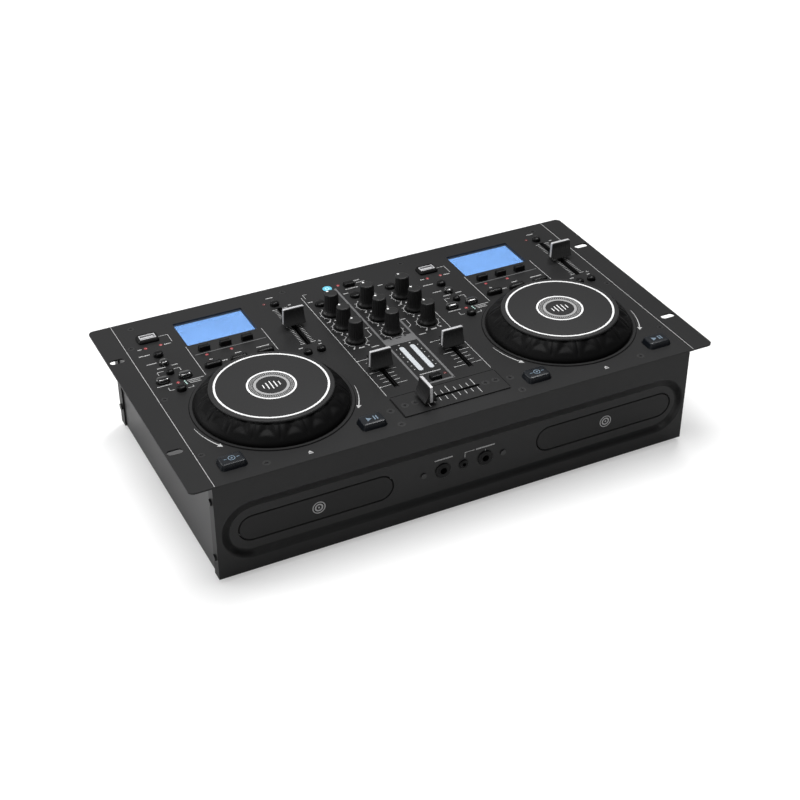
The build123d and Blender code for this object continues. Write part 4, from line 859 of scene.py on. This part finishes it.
# ---- knobs ----
KNOB_FOOT = (                    # radius and height over the foot
    (0, 0), (7.9, 0), (8.25, 0.3), (8.25, 1.3), (8.0, 1.7), (7.5, 2.4), (7.15, 3.2), (6.98, 4.0), (6.95, 4.4),
    (6.9, 5.0), (6.85, 5.6),
)
KNOB_CROWN = (                   # radius and depth under the top
    (6.1, 1.8), (6.05, 1.2), (5.95, 0.6), (5.7, 0.22), (5.3, 0.05), (4.6, 0), (0, 0.25),
)


def knob_profile(low, top):
    """Foot, tapered grip and crown of a knob."""
    r, up = KNOB_FOOT[-1]
    grip = [(r - 0.72 * i / 8, low + up + (top - 2.4 - low - up) * i / 8) for i in range(1, 9)]
    return [(r, low + up) for r, up in KNOB_FOOT] + grip + [(r, top - down) for r, down in KNOB_CROWN]


def make_knobs():
    ribs = bpy.context.scene.player_sizes.knob_ribs
    low, top = PLATE_Z + 1.0, PLATE_Z + 21.5

    def grip(r, z, angle):
        band = min(1.0, max(0.0, z - low - 4.4)) * min(1.0, max(0.0, (top - 1.4 - z) / 0.8))
        return r - 0.32 * band * (0.5 + 0.5 * math.cos(angle * ribs)) ** 2

    for node in KNOBS:
        centre = (mid(node, 0), mid(node, 1))
        shapes = Shapes()
        shapes.add(lathe(knob_profile(low, top), 144, grip, centre))
        dot = arc_points(polar(centre, 4.4, 120), 1.05, 0, 337.5, 15)
        shapes.add(stack([(dot, top - 0.6), (dot, top + 0.05)]), 1)
        piece = finish_mesh(node.replace("_knob", "_knob_grip"), shapes.data(), node, ["knob", "white"], 38)
        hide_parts(node)


# ---- fader caps ----
CAP_HALF = 9.75
CAP_ROWS, CAP_RIBS = 14, 9


def cap_side(z):
    """Half depth of a cap at a height above its base: concave, from 6 mm down to 2 mm."""
    t = min(1.0, z / 14.5)
    return 2.0 + 4.0 * (1 - t) ** 2.1


def cap_solid(tall):
    """A cap with concave faces and fine upright ribs."""
    heights = [0.0, 0.5] + [0.5 + (tall - 0.9) * i / CAP_ROWS for i in range(1, CAP_ROWS + 1)] + [tall]
    layers = []
    for z in heights:
        end = z in (0.0, tall)
        depth = cap_side(z) - (0.25 if end else 0.0)
        wide = CAP_HALF - (0.35 if end else 0.0) - 0.5 * z / tall
        face = []
        for k in range(CAP_RIBS * 4 + 1):
            u = -1 + 2 * k / (CAP_RIBS * 4)
            groove = 0.0 if end else 0.16 * (0.5 - 0.5 * math.cos((u + 1) * math.pi * CAP_RIBS))
            face.append((u * wide, groove - depth))
        layers.append((face + [(-a, -b) for a, b in face], z))
    return stack(layers)


def cap_band(tall):
    """A bright band over the top of a cap and down both ends."""
    deep, thick, foot = 1.2, 0.45, 0.4
    half = [(-CAP_HALF - thick, foot), (-CAP_HALF + 0.5 - thick, tall), (-CAP_HALF + 1.2, tall + thick)]
    half_inner = [(-CAP_HALF + 0.7, foot), (-CAP_HALF + 1.2, tall - 0.6), (-CAP_HALF + 1.8, tall - 0.4)]
    path, inner = (row + [(-a, z) for a, z in reversed(row)] for row in (half, half_inner))
    vertices, faces = [], []
    for (a, z), (b, w) in zip(path, inner):
        vertices += [(a, -deep, z), (a, deep, z), (b, deep, w), (b, -deep, w)]
    last = 4 * (len(path) - 1)
    for start in range(0, last, 4):
        for k in range(4):
            a, b = start + k, start + (k + 1) % 4
            faces.append((a, b, b + 4, a + 4))
    return vertices, faces + [(3, 2, 1, 0), (last, last + 1, last + 2, last + 3)]


def make_faders():
    tall = CAP_TOP - CAP_BASE
    stem = [(-0.8, -4), (0.8, -4), (0.8, 4), (-0.8, 4)]
    for node in ("left_pitch_fader", "right_pitch_fader", "left_channel_fader", "right_channel_fader", "crossfader"):
        place = Matrix.Translation((mid(node, 0), mid(node, 1), CAP_BASE))
        if node == "crossfader":
            place = place @ Matrix.Rotation(math.radians(90), 4, "Z")
        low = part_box(node)[0].z / MM - CAP_BASE
        shapes = Shapes()
        shapes.add(cap_solid(tall), 0, place)
        shapes.add(cap_band(tall), 1, place)
        shapes.add(stack([(stem, low), (stem, 0.3)]), 2, place)
        piece = finish_mesh(node + "_cap", shapes.data(), node, ["cap", "bright", "key"], 35)
        mesh = bmesh.new()
        mesh.from_mesh(piece.data)
        bmesh.ops.recalc_face_normals(mesh, faces=mesh.faces)
        mesh.to_mesh(piece.data)
        mesh.free()
        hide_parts(node)


# ---- keys ----
def domed(x, y, w, d, corner, low, high, lip, crown, lean=0.0):
    """A key with its retaining lip below the plate, a rounded edge and a slight crown."""
    flange, wall = rounded(x, y, w + 2, d + 2, corner + 1), rounded(x, y, w, d, corner)
    layers = [(flange, lip), (flange, lip + 1), (wall, lip + 1), (wall, low)]
    edge = min(0.9, w / 5, d / 5)

    def add(inset, least, z):
        layers.append((rounded(x, y, w - 2 * inset, d - 2 * inset, max(corner - inset, least)), z))

    steps = 5
    for i in range(steps + 1):
        angle = math.pi / 2 * i / steps
        inset = lean + edge * (1 - math.cos(angle))
        add(inset, 0.2, high - edge + edge * math.sin(angle) - crown * (1 - i / steps))
    for share in (0.6, 0.25):
        inset = lean + edge + (min(w, d) / 2 - edge - lean) * (1 - share)
        add(inset, 0.1, high + crown * (1 - share))
    return stack(layers)


ROUND = 99                       # a corner radius that makes the ends round
DECK_KEYS = (                    # x from the middle of the deck, y, width, depth, height, corner, shiny
    (-21.6, 58.3, 10.0, 5.5, 5.0, 1.0, 0), (-2.1, 58.3, 10.0, 5.5, 5.0, 1.0, 0),
    (18.0, 58.3, 10.0, 5.5, 5.0, 1.0, 0), (-23.6, 30.8, 15.5, 6.5, 4.6, ROUND, 0),
    (0.0, 30.8, 15.5, 6.5, 4.6, ROUND, 0), (24.4, 30.8, 15.5, 6.5, 4.6, ROUND, 0),
    (-60.5, 66.3, 8.2, 8.2, 4.5, ROUND, 0), (-60.5, 51.8, 8.4, 8.4, 4.5, ROUND, 1),
    (-60.5, 36.0, 6.6, 6.6, 4.0, ROUND, 0), (-70.4, 25.8, 12.0, 8.0, 4.5, ROUND, 1),
    (-50.6, 25.8, 12.0, 8.0, 4.5, ROUND, 1), (-60.3, 8.0, 8.4, 8.4, 4.5, ROUND, 0),
    (62.0, 101.0, 8.0, 8.0, 4.0, ROUND, 0), (56.6, 12.9, 7.6, 7.6, 4.0, ROUND, 0),
    (69.2, 12.9, 7.6, 7.6, 4.0, ROUND, 0),
)
MIXER_KEYS = (
    (-38.0, 83.0, 10.0, 10.0, 3.5, ROUND, 0), (-2.8, 83.0, 10.0, 10.0, 3.5, ROUND, 0),
    (32.5, 83.0, 10.0, 10.0, 3.5, ROUND, 0), (0.0, 103.5, 10.0, 6.5, 3.5, 1.0, 0),
    (0.0, -70.0, 10.0, 6.5, 3.5, 1.0, 0),
)


def key_group(name, node, body, keys, dx):
    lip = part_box(node)[0].z / MM
    shapes = Shapes()
    for x, y, w, d, h, corner, shiny in keys:
        crown = 0.7 if corner == ROUND else 0.25
        corner = min(corner, w / 2, d / 2)
        shapes.add(domed(dx + x, y, w, d, corner, PLATE_Z, PLATE_Z + h - crown, lip, crown), shiny)
    piece = finish_mesh(name, shapes.data(), body, ["key", "shiny_key"], 40)
    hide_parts(node)


def make_keys():
    for side, dx in DECKS.items():
        key_group(f"{side}_deck_keys", f"{side}_deck_buttons", f"{side}_deck_buttons", DECK_KEYS, dx)
    key_group("mixer_keys", "mixer_buttons", "mixer_buttons", MIXER_KEYS, 0.0)


def make_big_keys():
    """The cue and play keys by each jog wheel, with plain signs on them."""
    for side in DECKS:
        for kind in ("cue", "play"):
            node = f"{side}_{kind}_button"
            low, high = (corner.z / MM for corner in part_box(node))
            x, y = mid(node, 0), mid(node, 1)
            shapes = Shapes()
            shapes.add(domed(x, y, 22.5, 16.5, 4.0, PLATE_Z + 0.6, high - 0.3, low, 0.3, 1.25))
            ink = Print(high - 0.33, 0.4, ["ice"])
            if kind == "cue":
                ink.ring((x, y), 2.3, 3.0, steps=32)
                ink.dot(x, y, 0.9)
                for start in (-6.6, 4.2):
                    ink.bar(x + start, x + start + 2.4, y - 0.35, y + 0.35)
            else:
                ink.patch([(x - 4.6, y - 2.6), (x - 0.2, y), (x - 4.6, y + 2.6)])
                for start in (1.4, 3.6):
                    ink.bar(x + start, x + start + 1.1, y - 2.6, y + 2.6)
            shapes.add((ink.vertices, ink.faces), 1)
            piece = finish_mesh(f"{side}_{kind}_key", shapes.data(), node, ["cue", "ice"], 40)
            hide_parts(node)


# ---- lamps and front details ----
# x, y, radius, tint
DECK_LAMPS = ((-66.7, 82.0, 1.5, "red"), (-53.0, 82.0, 1.5, "red"), (-22.5, 49.5, 1.5, "red"),
              (0.0, 49.0, 1.5, "red"), (-59.5, 19.2, 1.5, "red"), (-53.8, 18.9, 0.7, "mint"),
              (-53.6, 16.6, 0.7, "mint"), (-53.4, 14.3, 0.7, "mint"), (53.4, 105.5, 1.5, "dim"))
MIXER_LAMPS = ((-9.5, 107.0, 1.5, "red"), (10.5, -67.0, 1.5, "dim"))


def make_lamps():
    """Domed lamps in their holes, and the light bars under the meter windows."""
    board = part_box("control_boards")[1].z / MM
    keys = list(LAMPS)
    dome = 0.45
    shapes = Shapes()
    lamps = [(dx + x, y, r, tint) for dx in DECKS.values() for x, y, r, tint in DECK_LAMPS] + list(MIXER_LAMPS)
    for x, y, r, tint in lamps:
        profile = [(0, board), (r, board), (r, PLATE_Z)]
        for i in range(1, 5):
            angle = math.pi / 2 * i / 5
            profile.append((r * math.cos(angle), PLATE_Z + dome * math.sin(angle)))
        shapes.add(lathe(profile + [(0, PLATE_Z + dome)], 24, None, (x, y)), keys.index(tint))
    for side in (-1, 1):
        outline = rounded(side * 5.2, -34.75, 4.4, 40.5, 0.2, 1)
        shapes.add(stack([(outline, board), (outline, PLATE_Z - 2.5)]), keys.index("mint"))
    piece = finish_mesh("lamps", shapes.data(), "chassis", keys, 40)
    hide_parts("status_leds")


NUTS = (("microphone", -19.5, 4.8, 7.2), ("headphone", 20.5, 4.8, 7.2), ("aux", 0.0, 3.0, 4.4))


def make_front_details():
    """Round nuts on the front sockets: name, x, radius of the bush, radius of the nut."""
    for name, x, bush, outer in NUTS:
        bore = bush + 0.05
        profile = [(bore, 0.0), (outer, 0.0), (outer, 0.7), (outer - 0.5, 1.2), (bore, 1.2)]
        stand = Matrix.Translation((x, FASCIA_Y, SLOT_Z)) @ Matrix.Rotation(math.radians(90), 4, "X")
        shapes = Shapes()
        shapes.add(lathe(profile, 48, closed=True), 0, stand)
        finish_mesh(f"{name}_nut", shapes.data(), "chassis", ["key"], 30)


# ---- CAD nodes that stay ----
KEPT = {
    "top_plate": "plate", "crossfader_plate": "plate", "front_panel": "front", "rear_panel": "front",
    "chassis_tray": "case", "rubber_feet": "rubber", "case_screws": "screw", "lcd_lenses": "lens",
    "lcd_modules": "display", "meter_lenses": "meter", "usb_bezels": "key", "usb_sockets": "bright",
    "front_jacks": "key", "control_boards": "board", "main_board": "board", "power_supply": "board",
    "disc_mechanisms": "zinc", "rear_sockets": "nickel", "power_inlet": "key", "jog_posts": "zinc",
    "fader_bodies": "screw", "knob_potentiometers": "zinc", "key_switches": "key", "power_rocker": "key",
}
for deck in ("left", "right"):
    KEPT.update({f"{deck}_disc_tray": "fascia", f"{deck}_tray_fascia": "fascia", f"{deck}_tray_gear": "white_plastic",
                 f"{deck}_disc_hub": "key", f"{deck}_laser_sled": "key"})


def dress_frame():
    for node, key in KEPT.items():
        mesh = NODES[node].data
        mesh.materials.clear()
        mesh.materials.append(FINISHES[key].material)


# ---- stage ----
# name, watts, side of the square in m, place, point it faces
LIGHTS = (
    ("key_softbox", 20.0, 0.6, (0.9, 0.75, 2.2), (0, 0, 0.08)),
    ("top_softbox", 54.0, 1.2, (-0.3, 0.15, 2.4), (0, 0, 0.08)),
    ("left_softbox", 25.0, 1.5, (-2.2, 1.3, 0.9), (0, 0, 0.05)),
    ("rear_softbox", 6.0, 2.4, (-0.2, 2.6, 1.1), (0, 0, 0.1)),
    ("front_softbox", 9.0, 1.2, (-2.0, -1.2, 0.8), (0, 0, 0.05)),
)
FLOOR_SIZE, FLOOR_GREY, FLOOR_GLOW = 30, 0.6, 0.38
WORLD_SEEN, WORLD_LIGHT = 1.0, 0.24


def face_along(thing, direction):
    """Turns a lamp or a camera to look along a direction."""
    thing.rotation_euler = direction.to_track_quat("-Z", "Y").to_euler()


def make_stage():
    scene = bpy.context.scene
    scene.view_settings.view_transform = "Standard"
    bpy.ops.mesh.primitive_plane_add(size=FLOOR_SIZE)
    floor = bpy.context.object
    floor.name = "floor"
    floor.data.materials.append(floor_finish())
    world_light(scene)
    for name, energy, size, place, aim in LIGHTS:
        data = bpy.data.lights.new(name, "AREA")
        data.energy, data.size = energy, size
        lamp = bpy.data.objects.new(name, data)
        scene.collection.objects.link(lamp)
        lamp.location = place
        face_along(lamp, Vector(aim) - Vector(place))
    make_camera(scene, scene.player_stage)


def make_camera(scene, settings):
    data = bpy.data.cameras.new("camera")
    data.lens, data.sensor_width, data.clip_end = settings.lens, 36.0, 100
    camera = bpy.data.objects.new("camera", data)
    scene.collection.objects.link(camera)
    a, e = math.radians(settings.azimuth), math.radians(settings.elevation)
    back = Vector((math.sin(a) * math.cos(e), -math.cos(a) * math.cos(e), math.sin(e)))
    camera.location = Vector(settings.aim) * MM + back * settings.distance * MM
    face_along(camera, -back)
    scene.camera = camera


def fresh_nodes(owner, *kinds):
    """Empties the node tree of a material or a world and adds nodes of these kinds."""
    owner.use_nodes = True
    tree = owner.node_tree
    tree.nodes.clear()
    return tree, [tree.nodes.new("ShaderNode" + kind) for kind in kinds]


def floor_finish():
    """White floor that keeps its shadows; the camera sees it a little brighter than it is lit."""
    material = bpy.data.materials.new("White floor")
    tree, (output, both, diffuse, glow, path) = fresh_nodes(
        material, "OutputMaterial", "AddShader", "BsdfDiffuse", "Emission", "LightPath")
    diffuse.inputs["Color"].default_value = (FLOOR_GREY, FLOOR_GREY, FLOOR_GREY, 1)
    connect(tree, Socket(tree, path.outputs["Is Camera Ray"]) * FLOOR_GLOW, glow.inputs["Strength"])
    tree.links.new(diffuse.outputs[0], both.inputs[0])
    tree.links.new(glow.outputs[0], both.inputs[1])
    tree.links.new(both.outputs[0], output.inputs[0])
    return material


def world_light(scene):
    """White where the camera looks past the floor, and a weaker white for the light on the part."""
    scene.world = bpy.data.worlds.new("Studio")
    tree, (output, mix, light, seen, path) = fresh_nodes(
        scene.world, "OutputWorld", "MixShader", "Background", "Background", "LightPath")
    for node, strength in ((light, WORLD_LIGHT), (seen, WORLD_SEEN)):
        node.inputs["Color"].default_value = (1, 1, 1, 1)
        node.inputs["Strength"].default_value = strength
    tree.links.new(path.outputs["Is Camera Ray"], mix.inputs[0])
    tree.links.new(light.outputs[0], mix.inputs[1])
    tree.links.new(seen.outputs[0], mix.inputs[2])
    tree.links.new(mix.outputs[0], output.inputs[0])


# ---- operators and panel ----
def operator(name, label, text, work):
    """An Operator class that runs one making function."""
    def execute(self, context):
        work()
        return {"FINISHED"}
    return type("PLAYER_OT_" + name, (bpy.types.Operator,), {
        "bl_idname": "player." + name, "bl_label": label, "__doc__": text, "execute": execute})


STEPS = (
    ("finishes", "Make finishes", "Makes the materials", make_finishes),
    ("frame", "Dress the frame", "Gives the CAD nodes their finishes", dress_frame),
    ("print", "Print the plate", "Prints the lines and marks on the top plate", make_print),
    ("front_print", "Print the front", "Prints the marks on the front panel and the trays", make_front_print),
    ("jogs", "Make jog wheels", "Makes the fluted rims and printed discs", make_jogs),
    ("knobs", "Make knobs", "Makes the ribbed knobs", make_knobs),
    ("faders", "Make fader caps", "Makes the concave caps with bright bands", make_faders),
    ("keys", "Make keys", "Makes the small keys", make_keys),
    ("big_keys", "Make cue and play keys", "Makes the large keys by the jog wheels", make_big_keys),
    ("lamps", "Make lamps", "Makes the small lamps and the light bars", make_lamps),
    ("front", "Make front details", "Makes the nuts on the front sockets", make_front_details),
    ("stage", "Set the stage", "Makes the floor, the lights and the camera", make_stage),
)
OPERATORS = [operator(*step) for step in STEPS]


class PLAYER_PT_panel(bpy.types.Panel):
    """Lists the making steps in the sidebar"""
    bl_label = "Disc player"
    bl_idname = "PLAYER_PT_panel"
    bl_space_type = "VIEW_3D"
    bl_region_type = "UI"
    bl_category = "Player"

    def draw(self, context):
        for step in STEPS:
            self.layout.operator("player." + step[0])


CLASSES = [PlayerSizes, PlayerColours, StageSettings, *OPERATORS, PLAYER_PT_panel]


def register():
    for cls in CLASSES:
        bpy.utils.register_class(cls)
    bpy.types.Scene.player_sizes = bpy.props.PointerProperty(type=PlayerSizes)
    bpy.types.Scene.player_colours = bpy.props.PointerProperty(type=PlayerColours)
    bpy.types.Scene.player_stage = bpy.props.PointerProperty(type=StageSettings)


def unregister():
    for name in ("player_sizes", "player_colours", "player_stage"):
        delattr(bpy.types.Scene, name)
    for cls in reversed(CLASSES):
        bpy.utils.unregister_class(cls)


def main():
    register()
    for step in STEPS:
        getattr(bpy.ops.player, step[0])()


if __name__ == "__main__":
    main()
